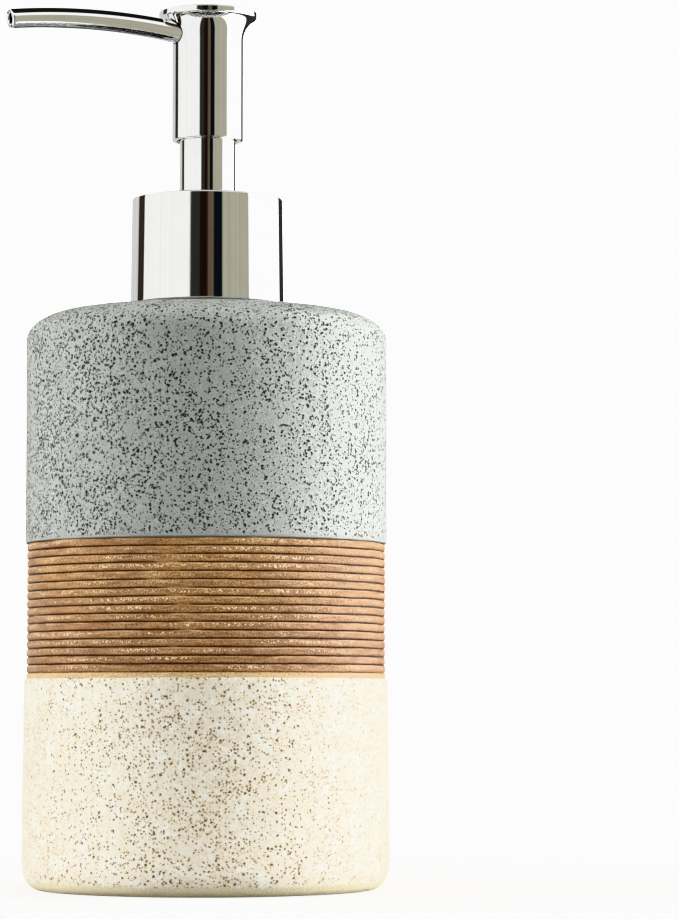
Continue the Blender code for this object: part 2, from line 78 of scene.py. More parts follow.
def eased(outline, radius, steps=4):
    """The outline with each crisp corner rolled over by about the given radius."""
    points = [Vector(p) for p in outline]
    rolled = []
    for i, corner in enumerate(points):
        before = points[i - 1]
        after = points[(i + 1) % len(points)]
        to_before = before - corner
        to_after = after - corner
        open_end = corner.x == 0.0
        if open_end or to_before.length < 1e-6 or to_after.length < 1e-6:
            rolled.append(tuple(corner))
            continue
        turn = to_before.angle(to_after)
        if turn > math.radians(150):
            rolled.append(tuple(corner))
            continue
        cut = min(radius, 0.4 * to_before.length, 0.4 * to_after.length)
        start = corner + to_before.normalized() * cut
        end = corner + to_after.normalized() * cut
        for k in range(steps + 1):
            t = k / steps
            rolled.append(tuple(start * (1 - t) ** 2 + corner * 2 * t * (1 - t) + end * t * t))
    return rolled


def finished_piece(name, shape, crisp):
    """A bmesh as a smooth piece of the scene; edges past crisp degrees stay sharp."""
    bmesh.ops.recalc_face_normals(shape, faces=shape.faces[:])
    mesh = bpy.data.meshes.new(name)
    shape.to_mesh(mesh)
    shape.free()
    mesh.shade_smooth()
    mesh.set_sharp_from_angle(angle=math.radians(crisp))
    piece = bpy.data.objects.new(name, mesh)
    bpy.context.scene.collection.objects.link(piece)
    return piece


def lathe(name, outline, sides, relief=None, crisp=38):
    """Turn an outline of (r, z) points in millimetres about Z.

    The outline runs down the outside and up the inside. It may start and end on the axis.
    relief(angle, r, z) gives how far each point stands proud, in millimetres.
    """
    closed = outline[0][0] != 0.0
    angles = np.linspace(0, 2 * math.pi, sides, endpoint=False)
    outline = np.array(outline)
    edges = np.roll(outline, -1, axis=0) - np.roll(outline, 1, axis=0)
    normals = np.stack([-edges[:, 1], edges[:, 0]], axis=1)
    normals /= np.maximum(np.linalg.norm(normals, axis=1, keepdims=True), 1e-9)
    r = np.repeat(outline[:, :1], sides, axis=1)
    z = np.repeat(outline[:, 1:], sides, axis=1)
    if relief is not None:
        proud = relief(angles[None, :], r, z)
        r = r + proud * normals[:, :1]
        z = z + proud * normals[:, 1:]
    places = np.stack([r * np.cos(angles), r * np.sin(angles), z], axis=2).reshape(-1, 3) * MM
    here = np.arange(sides)
    ahead = (here + 1) % sides
    faces = []
    for i in range(len(outline) if closed else len(outline) - 1):
        upper = i * sides
        lower = (i + 1) % len(outline) * sides
        quads = np.stack([upper + here, lower + here, lower + ahead, upper + ahead], axis=1)
        faces.extend(quads.tolist())
    rough_mesh = bpy.data.meshes.new(name + "_turning")
    rough_mesh.from_pydata(places.tolist(), [], faces)
    shape = bmesh.new()
    shape.from_mesh(rough_mesh)
    bpy.data.meshes.remove(rough_mesh)
    if not closed:
        bmesh.ops.remove_doubles(shape, verts=shape.verts[:], dist=1e-7)
    return finished_piece(name, shape, crisp)


def new_finish(name, **settings):
    """A material whose plain values sit on the shader's own sockets; _ stands for a space."""
    material = bpy.data.materials.new(name)
    material.use_nodes = True
    tree = material.node_tree
    shader = tree.nodes["Principled BSDF"]
    for socket, value in settings.items():
        shader.inputs[socket.replace("_", " ")].default_value = value
    return material, tree, shader


def add_node(tree, kind, inputs=None, **settings):
    """A shader node; each of its inputs is a plain value or another node's socket."""
    node = tree.nodes.new("ShaderNode" + kind)
    for name, setting in settings.items():
        setattr(node, name, setting)
    for name, value in (inputs or {}).items():
        if isinstance(value, bpy.types.NodeSocket):
            tree.links.new(value, node.inputs[name])
        else:
            node.inputs[name].default_value = value
    return node


def calculate(tree, operation, *values, clamp=False):
    """A Math node; each value is a number or another node's socket."""
    inputs = dict(enumerate(values))
    return add_node(tree, "Math", inputs, operation=operation, use_clamp=clamp).outputs[0]


def shift_point(tree, operation, inputs):
    """A Vector Math node, for points and directions."""
    return add_node(tree, "VectorMath", inputs, operation=operation).outputs


def blend_colours(tree, share, first, second, mode="MIX"):
    """A Mix node for colours; share, first and second are values or sockets."""
    first, second = [(*c, 1.0) if isinstance(c, tuple) else c for c in (first, second)]
    inputs = {0: share, 6: first, 7: second}
    return add_node(tree, "Mix", inputs, data_type="RGBA", blend_type=mode).outputs[2]


def tint(tree, under, mask, amount, colour):
    """The colour under, gone over with another one where the mask is, by the given amount."""
    return blend_colours(tree, calculate(tree, "MULTIPLY", mask, amount), under, colour)


def vary_roughness(tree, shader, mask, amount, base):
    tree.links.new(calculate(tree, "MULTIPLY_ADD", mask, amount, base), shader.inputs["Roughness"])


def spread_value(tree, value, low, high, to_low=0.0, to_high=1.0):
    """A smooth step from to_low to to_high while the value goes from low to high."""
    inputs = {"Value": value, "From Min": low, "From Max": high, "To Min": to_low, "To Max": to_high}
    return add_node(tree, "MapRange", inputs, interpolation_type="SMOOTHSTEP").outputs["Result"]


def new_effect(name, inputs, outputs):
    """An empty node group with named number inputs and outputs."""
    tree = bpy.data.node_groups.new(name, "ShaderNodeTree")
    for label, value in inputs.items():
        socket = tree.interface.new_socket(label, in_out="INPUT", socket_type="NodeSocketFloat")
        socket.default_value = value
    for label in outputs:
        tree.interface.new_socket(label, in_out="OUTPUT", socket_type="NodeSocketFloat")
    return tree, tree.nodes.new("NodeGroupInput"), tree.nodes.new("NodeGroupOutput")


def use_effect(tree, effect, **settings):
    """Place a node group in a material; _ in a setting's name stands for a space."""
    node = tree.nodes.new("ShaderNodeGroup")
    node.node_tree = effect
    for label, value in settings.items():
        node.inputs[label.replace("_", " ")].default_value = value
    return node


def millimetres(tree):
    """The surface point in millimetres from the middle of the foot."""
    place = add_node(tree, "TexCoord").outputs["Object"]
    return shift_point(tree, "SCALE", {0: place, "Scale": 1 / MM})["Vector"]


# Cloudy: a soft, uneven field, used for mottled colour, haze and fine grain.
cloudy, given, result = new_effect(
    "cloudy", {"Grain": 2.0, "Detail": 2.0, "Flatten": 1.0, "Low": 0.35, "High": 0.65}, ["Value"]
)
stretch = add_node(cloudy, "CombineXYZ", {0: 1.0, 1: 1.0, 2: given.outputs["Flatten"]})
squeezed = shift_point(cloudy, "MULTIPLY", {0: millimetres(cloudy), 1: stretch.outputs[0]})
field = add_node(cloudy, "TexNoise", {
    "Vector": squeezed["Vector"], "Detail": given.outputs["Detail"],
    "Scale": calculate(cloudy, "DIVIDE", 1.0, given.outputs["Grain"]),
})
evened = spread_value(cloudy, field.outputs[0], given.outputs["Low"], given.outputs["High"])
cloudy.links.new(evened, result.inputs["Value"])


def connect_bump(tree, shader, height, depth_mm):
    bump = add_node(tree, "Bump", {"Strength": 1.0, "Distance": depth_mm * MM, "Height": height})
    tree.links.new(bump.outputs["Normal"], shader.inputs["Normal"])


clay_finish, tree, shader = new_finish("bare_stoneware_clay", Roughness=0.8)
sandy = use_effect(tree, cloudy, Grain=0.35, Detail=3.0)
stained = use_effect(tree, cloudy, Grain=6.0, Detail=3.0)
pale = blend_colours(tree, sandy.outputs[0], (0.52, 0.42, 0.27), (0.68, 0.57, 0.39))
clay_colour = blend_colours(tree, stained.outputs[0], pale, (0.60, 0.48, 0.31))
tree.links.new(clay_colour, shader.inputs["Base Color"])
connect_bump(tree, shader, sandy.outputs[0], 0.03)

wall = 3.8
floor = 5.0
floor_curve = 4.0
shoulder_curve = 4.5
inside = shoulder_radius - coat_thickness - wall
under_glaze = coat_thickness + 0.05
clay_outline = [(0.0, floor)]
clay_outline += bend(inside - floor_curve, floor + floor_curve, floor_curve, floor_curve, -90, 0, 8)
clay_outline += bend(shoulder_radius - shoulder_across, bottle_top - floor - shoulder_curve,
                     inside - shoulder_radius + shoulder_across, shoulder_curve, 0, 90, 8)
clay_outline += [(mouth_radius, bottle_top - floor), (mouth_radius, bottle_top - under_glaze)]
clay_outline += bend(
    shoulder_radius - shoulder_across, bottle_top - shoulder_drop,
    shoulder_across - under_glaze, shoulder_drop - under_glaze, 90, 0, 12,
)
band_core = 36.6
clay_outline += [(shoulder_radius - under_glaze, rib_top + 1.2), (band_core, rib_top - 0.8)]
clay_outline += [(band_core, rib_bottom + 1.2), (foot_radius - under_glaze - 0.3, rib_bottom - 1.8)]
clay_outline += [(foot_radius - under_glaze, foot_rise + 3.5)]
clay_outline += bend(foot_radius - foot_across, foot_rise, foot_across - under_glaze,
                     foot_rise - under_glaze, 0, -62, 8)
clay_outline += bend(foot_radius - foot_across, foot_rise, foot_across, foot_rise, -82, -90, 2)
clay_outline += [(0.0, 0.0)]
clay_body = lathe("clay_body", clay_outline, 192)
clay_body.data.materials.append(clay_finish)
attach(clay_body, "bottle")
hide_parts("bottle_body")


# Grey shoulder glaze -----------------------------------------------------------------
# A thick satin glaze, grey with a little green, poured over the shoulder. Gas broke through
# it in the kiln and left a skin of pinholes, some run together into short worm tracks. The
# pinholes are painted near-black as painted shade inside them, ringed by a painted highlight.

bottle_sides = 480


def ruffled(tree, point, scale, detail, amount):
    """The point pushed about a little, so that what is drawn at it comes out ragged."""
    ruffle = add_node(tree, "TexNoise", {"Vector": point, "Scale": scale, "Detail": detail})
    centred = shift_point(tree, "SUBTRACT", {0: ruffle.outputs["Color"], 1: (0.5, 0.5, 0.5)})
    push = shift_point(tree, "SCALE", {0: centred["Vector"], "Scale": amount})
    return shift_point(tree, "ADD", {0: point, 1: push["Vector"]})["Vector"]


def crowded(tree, point, scale, amount):
    """More in some places than in others: from -2 to 2 times the amount."""
    crowd = add_node(tree, "TexNoise", {"Vector": point, "Scale": scale, "Detail": 2.0})
    centred = calculate(tree, "MULTIPLY_ADD", crowd.outputs[0], 4.0, -2.0)
    return calculate(tree, "MULTIPLY", centred, amount)


# Pinholes: small ragged holes, thicker on the ground in some places than in others.
pinholes, given, result = new_effect(
    "pinholes", {"Spacing": 1.1, "Cover": 0.6, "Ragged": 0.35, "Crowding": 0.06}, ["Mask"]
)
point = millimetres(pinholes)
blobs = add_node(pinholes, "TexNoise", {
    "Vector": ruffled(pinholes, point, 1.4, 1.0, given.outputs["Ragged"]), "Detail": 1.0,
    "Scale": calculate(pinholes, "DIVIDE", 1.0, given.outputs["Spacing"]), "Roughness": 0.45,
})
crowding = crowded(pinholes, point, 0.11, given.outputs["Crowding"])
edge = calculate(pinholes, "SUBTRACT", given.outputs["Cover"], crowding)
mask = spread_value(pinholes, blobs.outputs[0], edge, calculate(pinholes, "ADD", edge, 0.035))
pinholes.links.new(mask, result.inputs["Mask"])

# Specks: round grains of about one size, each in its own spot, only some of them showing.
specks, given, result = new_effect(
    "specks",
    {"Spacing": 1.0, "Radius": 0.2, "Share": 0.5, "Ragged": 0.25, "Offset": 0.0, "Crowding": 0.0},
    ["Mask", "Tone", "Rim"],
)
point = millimetres(specks)
moved = ruffled(specks, point, 2.2, 2.0, given.outputs["Ragged"])
offset = add_node(specks, "CombineXYZ", {axis: given.outputs["Offset"] for axis in range(3)})
placed = shift_point(specks, "ADD", {0: moved, 1: offset.outputs[0]})
cells = add_node(specks, "TexVoronoi", {
    "Vector": placed["Vector"], "Scale": calculate(specks, "DIVIDE", 1.0, given.outputs["Spacing"]),
})
tones = add_node(specks, "SeparateColor", {0: cells.outputs["Color"]})
crowding = crowded(specks, point, 0.16, given.outputs["Crowding"])
chance = calculate(specks, "ADD", crowding, given.outputs["Share"])
shown = calculate(specks, "LESS_THAN", tones.outputs[0], chance)
distance = calculate(specks, "MULTIPLY", cells.outputs["Distance"], given.outputs["Spacing"])
size = calculate(specks, "MULTIPLY_ADD", tones.outputs[1], 0.7, 0.5)
size = calculate(specks, "MULTIPLY", size, given.outputs["Radius"])
grain = spread_value(specks, distance, calculate(specks, "MULTIPLY", size, 0.85),
                     calculate(specks, "MULTIPLY", size, 1.15), 1.0, 0.0)
specks.links.new(calculate(specks, "MULTIPLY", grain, shown), result.inputs["Mask"])
specks.links.new(tones.outputs[2], result.inputs["Tone"])
rim = spread_value(specks, distance, size, calculate(specks, "MULTIPLY", size, 2.0), 1.0, 0.0)
rim = calculate(specks, "SUBTRACT", rim, grain, clamp=True)
specks.links.new(calculate(specks, "MULTIPLY", rim, shown), result.inputs["Rim"])


def height_mm(tree):
    """Height above the foot, in millimetres."""
    return add_node(tree, "SeparateXYZ", {0: millimetres(tree)}).outputs["Z"]


def coat_relief(amount, lump_mm, seed):
    """Slow unevenness of a poured glaze, as a relief for the lathe."""
    def relief(angle, r, z):
        proud = np.zeros(np.broadcast(angle, r).shape)
        x = r * np.cos(angle)
        y = r * np.sin(angle)
        for index in np.ndindex(proud.shape):
            place = Vector((x[index], y[index], z[index])) / lump_mm
            proud[index] = amount * noise.noise(place + Vector((seed, seed, seed)))
        return proud
    return relief


grey_finish, tree, shader = new_finish("grey_pinholed_glaze", Roughness=0.5)
holes = use_effect(tree, pinholes, Spacing=0.55, Cover=0.640, Ragged=0.4, Crowding=0.07)
dots = use_effect(tree, specks, Spacing=0.85, Radius=0.30, Share=0.80, Ragged=0.8, Offset=3.7,
                  Crowding=0.35)
small_dots = use_effect(tree, specks, Spacing=0.7, Radius=0.21, Share=0.6, Ragged=0.7, Offset=8.1,
                        Crowding=0.25)
clouds = use_effect(tree, cloudy, Grain=9.0, Detail=3.0, Low=0.3, High=0.7)
ochre = use_effect(tree, cloudy, Grain=2.6, Detail=2.0, Low=0.62, High=0.72)
fine = use_effect(tree, cloudy, Grain=0.3, Detail=3.0, Low=0.3, High=0.7)
height = height_mm(tree)
clear_of_edge = spread_value(tree, height, rib_top + 0.3, rib_top + 0.9)
pit_mask = calculate(tree, "MAXIMUM", dots.outputs["Mask"], small_dots.outputs["Mask"])
pit_mask = calculate(tree, "MAXIMUM", pit_mask, holes.outputs["Mask"])
pit_mask = calculate(tree, "MULTIPLY", pit_mask, clear_of_edge)
rim_highlight_mask = calculate(tree, "MAXIMUM", dots.outputs["Rim"], small_dots.outputs["Rim"])
rim_highlight_mask = calculate(tree, "MULTIPLY", rim_highlight_mask, clear_of_edge)
ground = blend_colours(tree, clouds.outputs[0], (0.225, 0.240, 0.222), (0.262, 0.280, 0.255))
ground = tint(tree, ground, ochre.outputs[0], 0.55, (0.150, 0.125, 0.108))
ground = tint(tree, ground, fine.outputs[0], 0.60, (0.340, 0.358, 0.330))
# Painted highlight: the ring round each speck is painted lighter than the ground, standing in for lit pit
# rims.
ground = tint(tree, ground, rim_highlight_mask, 0.42, (0.47, 0.48, 0.46))
# Painted shade: the pinholes are only a shallow bump, so the shade inside them is painted near-black.
pit_shade_colour = blend_colours(tree, ochre.outputs[0], (0.012, 0.015, 0.012), (0.045, 0.030, 0.020))
tree.links.new(tint(tree, ground, pit_mask, 0.95, pit_shade_colour), shader.inputs["Base Color"])
satin = calculate(tree, "MULTIPLY_ADD", clouds.outputs[0], 0.10, 0.40)
vary_roughness(tree, shader, pit_mask, 0.3, satin)
rough = calculate(tree, "MULTIPLY_ADD", rim_highlight_mask, 0.25, calculate(tree, "MULTIPLY", fine.outputs[0], 0.22))
sunk = calculate(tree, "MULTIPLY_ADD", pit_mask, -1.0, rough)
connect_bump(tree, shader, sunk, 0.22)

grey_outline = [(mouth_radius, bottle_top - coat_thickness), (mouth_radius, bottle_top - 0.25)]
grey_outline += [(mouth_radius + 0.25, bottle_top)]
grey_outline += [(r, bottle_top) for r in np.linspace(mouth_radius + 1.5, 26.5, 18)]
grey_outline += bend(
    shoulder_radius - shoulder_across, bottle_top - shoulder_drop, shoulder_across, shoulder_drop, 90, 0, 28
)
under_shoulder = bottle_top - shoulder_drop - 0.6
grey_outline += [(shoulder_radius, z) for z in np.linspace(under_shoulder, rib_top + 0.6, 80)]
grey_outline += bend(shoulder_radius - 0.4, rib_top + 0.4, 0.4, 0.4, -15, -90, 4)
grey_outline += [(shoulder_radius - coat_thickness, rib_top)]
grey_outline += bend(
    shoulder_radius - shoulder_across, bottle_top - shoulder_drop,
    shoulder_across - coat_thickness, shoulder_drop - coat_thickness, 0, 90, 12,
)
grey_relief = coat_relief(0.05, 5.0, 2.0)
grey_coat = lathe("grey_shoulder_glaze", grey_outline, bottle_sides, grey_relief, crisp=50)
grey_coat.data.materials.append(grey_finish)
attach(grey_coat, "bottle")
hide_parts("bottle_body")


# Ribbed band -------------------------------------------------------------------------
# Sixteen ribs are combed into the clay while it turns, then glazed in a golden brown that
# pools dark in the grooves and breaks pale on the crests. The grooves' near-black is that
# pooled glaze with painted shade in the grooves on top. A thin run of honey glaze closes
# the band against the cream coat below.

rib_count = 16
rib_pitch = 1.7
crest_radius = 37.72
groove_depth = 0.24
honey_line_top = rib_top - rib_count * rib_pitch
rows_per_rib = 12

# Places where the comb jumped or the glaze bridged the grooves: angle, height, reach, fill.
knots = [(-38, 67.5, 2.2, 0.7), (-35, 61.5, 1.9, 0.8), (-33, 58.2, 1.3, 0.9), (-31, 54.0, 1.6, 0.7),
         (-42, 64.3, 1.4, 0.6), (-36, 51.0, 1.1, 0.6), (62, 63.0, 2.4, 0.6), (118, 55.5, 1.8, 0.7),
         (171, 66.0, 1.7, 0.6), (205, 52.0, 2.1, 0.7), (-96, 57.0, 1.5, 0.5)]


def comb_relief(angle, r, z):
    """Ribs that wander a little in height, width and depth round the bottle."""
    outside = r > crest_radius - 0.01
    proud = np.zeros(np.broadcast(angle, r).shape)
    angles = np.broadcast_to(angle, proud.shape)
    for index in np.ndindex(proud.shape):
        if not outside[index]:
            continue
        turn = angles[index]
        x = math.cos(turn)
        y = math.sin(turn)
        level = z[index]
        sway = 0.09 * noise.noise(Vector((3.0 * x, 3.0 * y, level / 5.0)))
        place = (rib_top - level + sway) / rib_pitch
        rib = math.floor(place)
        across = abs(2.0 * (place - rib) - 1.0)
        own = noise.noise(Vector((1.6 * x, 1.6 * y, 7.3 * rib)))
        near_groove = min(1.0, max(0.0, (across - 0.68 - 0.08 * own) / 0.26))
        groove = near_groove * near_groove * (3.0 - 2.0 * near_groove)
        fill = 0.0
        for knot_angle, knot_level, reach, amount in knots:
            gap = math.atan2(y, x) - math.radians(knot_angle - 90)
            along = math.atan2(math.sin(gap), math.cos(gap)) * crest_radius
            square = (along * along * 0.5 + (level - knot_level) ** 2) / (reach * reach)
            if square < 6.0:
                fill = max(fill, amount * math.exp(-square))
        crumbs = noise.noise(Vector((38 * x, 38 * y, 1.6 * level)) * 1.3)
        depth = groove_depth * (1.0 + 0.35 * own) * (1.0 - fill)
        crown = 0.07 * across * across
        proud[index] = -depth * groove - crown + 0.05 * own + 0.045 * crumbs + 0.10 * fill
        if level < honey_line_top:
            proud[index] = 0.05 * own - 0.02
    return proud


brown_finish, tree, shader = new_finish("golden_brown_rib_glaze", Roughness=0.4)
parts = add_node(tree, "SeparateXYZ", {0: millimetres(tree)})
reach = calculate(tree, "SQRT", calculate(tree, "ADD",
                  calculate(tree, "MULTIPLY", parts.outputs["X"], parts.outputs["X"]),
                  calculate(tree, "MULTIPLY", parts.outputs["Y"], parts.outputs["Y"])))
on_crest = spread_value(tree, reach, crest_radius - 0.24, crest_radius - 0.07)
streaks = use_effect(tree, cloudy, Grain=5.0, Detail=4.0, Flatten=8.0, Low=0.32, High=0.68)
patches = use_effect(tree, cloudy, Grain=10.0, Detail=3.0, Flatten=2.5, Low=0.46, High=0.66)
grain = use_effect(tree, cloudy, Grain=0.36, Detail=3.0, Flatten=1.4, Low=0.36, High=0.64)
glints = use_effect(tree, specks, Spacing=0.38, Radius=0.16, Share=0.80, Ragged=0.3, Offset=9.1)
scorch = use_effect(tree, specks, Spacing=0.9, Radius=0.22, Share=0.25, Ragged=0.8, Offset=4.4,
                    Crowding=0.3)
runs = use_effect(tree, cloudy, Grain=16.0, Detail=2.0, Flatten=8.0, Low=0.44, High=0.60)
lower_down = spread_value(tree, parts.outputs["Z"], rib_top - 6.0, rib_bottom + 4.0)
place = calculate(tree, "MULTIPLY_ADD", parts.outputs["Z"], -1.0 / rib_pitch, rib_top / rib_pitch)
phase = calculate(tree, "FRACT", place)
off_line = calculate(tree, "ABSOLUTE", calculate(tree, "SUBTRACT", phase, 0.42))
glint_line = spread_value(tree, off_line, 0.10, 0.26, 1.0, 0.0)
off_lip = calculate(tree, "ABSOLUTE", calculate(tree, "SUBTRACT", phase, 0.15))
pale_lip = spread_value(tree, off_lip, 0.02, 0.09, 1.0, 0.0)
golden = blend_colours(tree, streaks.outputs[0], (0.40, 0.205, 0.072), (0.56, 0.335, 0.135))
umber = blend_colours(tree, streaks.outputs[0], (0.235, 0.108, 0.052), (0.40, 0.215, 0.105))
browned = calculate(tree, "MULTIPLY", lower_down, 0.6)
browned = calculate(tree, "MAXIMUM", browned, calculate(tree, "MULTIPLY", patches.outputs[0], 0.6))
crest = blend_colours(tree, browned, golden, umber)
crest = tint(tree, crest, grain.outputs[0], 0.72, (0.13, 0.050, 0.018))
crest = tint(tree, crest, scorch.outputs["Mask"], 0.6, (0.09, 0.035, 0.016))
lip_share = calculate(tree, "MULTIPLY", pale_lip, streaks.outputs[0])
crest = tint(tree, crest, lip_share, 0.5, (0.72, 0.52, 0.30))
glint_share = calculate(tree, "MULTIPLY", glint_line, runs.outputs[0])
glint_share = calculate(tree, "MULTIPLY", glint_share, glints.outputs["Mask"])
crest = tint(tree, crest, glint_share, 0.9, (0.86, 0.72, 0.48))
# Groove colour: glaze pooled dark in the grooves, made darker still as painted shade there.
combed = blend_colours(tree, on_crest, (0.050, 0.016, 0.005), crest)
honey = blend_colours(tree, grain.outputs[0], (0.44, 0.285, 0.125), (0.66, 0.47, 0.25))
wobble = calculate(tree, "MULTIPLY_ADD", grain.outputs[0], 0.3, parts.outputs["Z"])
above_honey = spread_value(tree, wobble, honey_line_top - 0.05, honey_line_top + 0.35)
tree.links.new(blend_colours(tree, above_honey, honey, combed), shader.inputs["Base Color"])
vary_roughness(tree, shader, grain.outputs[0], 0.2, 0.26)
ripple = calculate(tree, "MULTIPLY_ADD", glints.outputs["Mask"], 0.6, grain.outputs[0])
connect_bump(tree, shader, ripple, 0.10)

rib_rows = rib_count * rows_per_rib
ribbed_outline = [(crest_radius - coat_thickness - 0.4, rib_top - 0.02)]
ribbed_outline += [(crest_radius, z) for z in np.linspace(rib_top - 0.02, honey_line_top, rib_rows)]
ribbed_outline += [(crest_radius, z) for z in np.linspace(honey_line_top - 0.12, rib_bottom + 0.02, 8)]
ribbed_outline += [(crest_radius - coat_thickness - 0.4, rib_bottom + 0.02)]
ribbed_band = lathe("ribbed_band", ribbed_outline, bottle_sides, comb_relief, crisp=60)
ribbed_band.data.materials.append(brown_finish)
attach(ribbed_band, "bottle")
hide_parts("bottle_body")


# Cream glaze -------------------------------------------------------------------------
# The lower coat is a semi-matt cream with iron specks that bled tan haloes in the firing.
# It is wiped off just above the table, where the bare clay shows as a beige line.

cream_finish, tree, shader = new_finish("speckled_cream_glaze", Roughness=0.45)
small = use_effect(tree, specks, Spacing=0.60, Radius=0.22, Share=0.58, Ragged=0.5, Offset=1.3,
                   Crowding=0.40)
large = use_effect(tree, specks, Spacing=0.95, Radius=0.25, Share=0.50, Ragged=0.6, Offset=5.9,
                   Crowding=0.35)
faint = use_effect(tree, specks, Spacing=0.60, Radius=0.20, Share=0.55, Ragged=0.6, Offset=8.4,
                   Crowding=0.3)
bled = use_effect(tree, cloudy, Grain=1.1, Detail=3.0, Low=0.44, High=0.70)
milky = use_effect(tree, cloudy, Grain=3.0, Detail=3.0, Low=0.48, High=0.68)
fine = use_effect(tree, cloudy, Grain=0.35, Detail=3.0, Low=0.3, High=0.7)
cream = blend_colours(tree, fine.outputs[0], (0.555, 0.520, 0.425), (0.640, 0.615, 0.535))
cream = tint(tree, cream, milky.outputs[0], 0.7, (0.640, 0.650, 0.610))
cream = tint(tree, cream, bled.outputs[0], 0.28, (0.52, 0.40, 0.20))
halo = calculate(tree, "MAXIMUM", small.outputs["Rim"], large.outputs["Rim"])
cream = tint(tree, cream, halo, 0.40, (0.50, 0.36, 0.15))
cream = tint(tree, cream, faint.outputs["Mask"], 0.45, (0.36, 0.27, 0.13))
iron = blend_colours(tree, small.outputs["Tone"], (0.055, 0.038, 0.018), (0.20, 0.115, 0.04))
cream = tint(tree, cream, small.outputs["Mask"], 0.88, iron)
cream = tint(tree, cream, large.outputs["Mask"], 0.92, (0.050, 0.034, 0.016))
wobble = calculate(tree, "MULTIPLY_ADD", milky.outputs[0], 0.7, height_mm(tree))
glazed = spread_value(tree, wobble, 1.9, 2.3)
bare = blend_colours(tree, fine.outputs[0], (0.50, 0.44, 0.29), (0.62, 0.56, 0.40))
tree.links.new(blend_colours(tree, glazed, bare, cream), shader.inputs["Base Color"])
sheen = calculate(tree, "MULTIPLY_ADD", milky.outputs[0], 0.1, 0.63)
vary_roughness(tree, shader, glazed, -0.25, sheen)
pitted = calculate(tree, "MULTIPLY_ADD", small.outputs["Mask"], -0.5, fine.outputs[0])
connect_bump(tree, shader, pitted, 0.03)

waist_radius = 38.2
cream_outline = [(waist_radius - coat_thickness - 0.3, rib_bottom)]
cream_outline += bend(waist_radius - 0.3, rib_bottom - 0.3, 0.3, 0.3, 90, 10, 4)
cream_outline += [
    (waist_radius + (foot_radius - waist_radius) * t, rib_bottom - 0.6 + (10.0 - rib_bottom + 0.6) * t)
    for t in np.linspace(0, 1, 50)
]
cream_outline += [(foot_radius, z) for z in np.linspace(9.2, foot_rise + 0.6, 6)]
cream_outline += bend(foot_radius - foot_across, foot_rise, foot_across, foot_rise, 0, -78, 18)
cream_outline += bend(foot_radius - foot_across, foot_rise, foot_across - coat_thickness,
                      foot_rise - coat_thickness, -62, 0, 6)
cream_outline += [(foot_radius - coat_thickness, 9.0)]
cream_coat = lathe("cream_glaze", cream_outline, bottle_sides, coat_relief(0.05, 6.0, 5.0), crisp=50)
cream_coat.data.materials.append(cream_finish)
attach(cream_coat, "bottle")
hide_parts("bottle_body")


# Neck insert -------------------------------------------------------------------------
# A moulded white plastic insert glued into the ceramic mouth. Its collar rests on the glaze
# and its neck carries the thread that the pump's closure screws down on.

thread_pitch = 25.4 / 6
thread_turns = 1.25
neck_thread_start = 126.6
mould_corner = 0.25
fit_gap = 0.3


def carve(piece, tool, operation="DIFFERENCE"):
    """Cut the tool out of the piece, or weld it on, and throw the tool away."""
    step = piece.modifiers.new("Carve", "BOOLEAN")
    step.operation = operation
    step.solver = "EXACT"
    step.object = tool
    carved = piece.evaluated_get(bpy.context.evaluated_depsgraph_get())
    piece.data = bpy.data.meshes.new_from_object(carved)
    piece.modifiers.clear()
    bpy.data.objects.remove(tool)
    piece.data.shade_smooth()
    piece.data.set_sharp_from_angle(angle=math.radians(38))


def thread_ridge(root, crest, start_height):
    """One right-hand thread ridge with a rounded crest, run out at both ends."""
    steps = 90
    section = [(0.0, -1.1), (0.55, -0.72), (0.88, -0.5), (1.0, -0.28), (1.0, 0.28), (0.88, 0.5),
               (0.55, 0.72), (0.0, 1.1)]
    shape = bmesh.new()
    rings = []
    for i in range(steps + 1):
        share = i / steps
        angle = 2 * math.pi * thread_turns * share
        run_out = min(1.0, 9 * share, 9 * (1 - share))
        proud = (crest - root) * (0.4 + 0.6 * math.sin(run_out * math.pi / 2))
        ring = []
        for out, up in section:
            r = root + proud * out
            z = start_height + thread_pitch * thread_turns * share + up
            ring.append(shape.verts.new(Vector((r * math.cos(angle), r * math.sin(angle), z)) * MM))
        rings.append(ring)
    for lower, upper in zip(rings, rings[1:]):
        for i in range(len(section)):
            j = (i + 1) % len(section)
            shape.faces.new((lower[i], lower[j], upper[j], upper[i]))
    shape.faces.new(rings[0])
    shape.faces.new(rings[-1][::-1])
    return finished_piece("thread_ridge", shape, 38)


# Moulded: the fine orange-peel and faint flow marks of injection-moulded plastic.
moulded, given, result = new_effect("moulded_skin", {"Flow": 3.0, "Peel": 0.18}, ["Flow", "Peel"])
flow_grain = use_effect(moulded, cloudy, Flatten=0.35)
moulded.links.new(given.outputs["Flow"], flow_grain.inputs["Grain"])
peel_grain = use_effect(moulded, cloudy)
moulded.links.new(given.outputs["Peel"], peel_grain.inputs["Grain"])
moulded.links.new(flow_grain.outputs[0], result.inputs["Flow"])
moulded.links.new(peel_grain.outputs[0], result.inputs["Peel"])

white_finish, tree, shader = new_finish(
    "moulded_white_plastic", Subsurface_Weight=0.15, Subsurface_Scale=0.002, IOR=1.49
)
skin = use_effect(tree, moulded, Flow=3.0, Peel=0.2)
white = blend_colours(tree, skin.outputs["Flow"], (0.80, 0.80, 0.775), (0.85, 0.85, 0.83))
tree.links.new(white, shader.inputs["Base Color"])
vary_roughness(tree, shader, skin.outputs["Flow"], 0.10, 0.33)
connect_bump(tree, shader, skin.outputs["Peel"], 0.01)

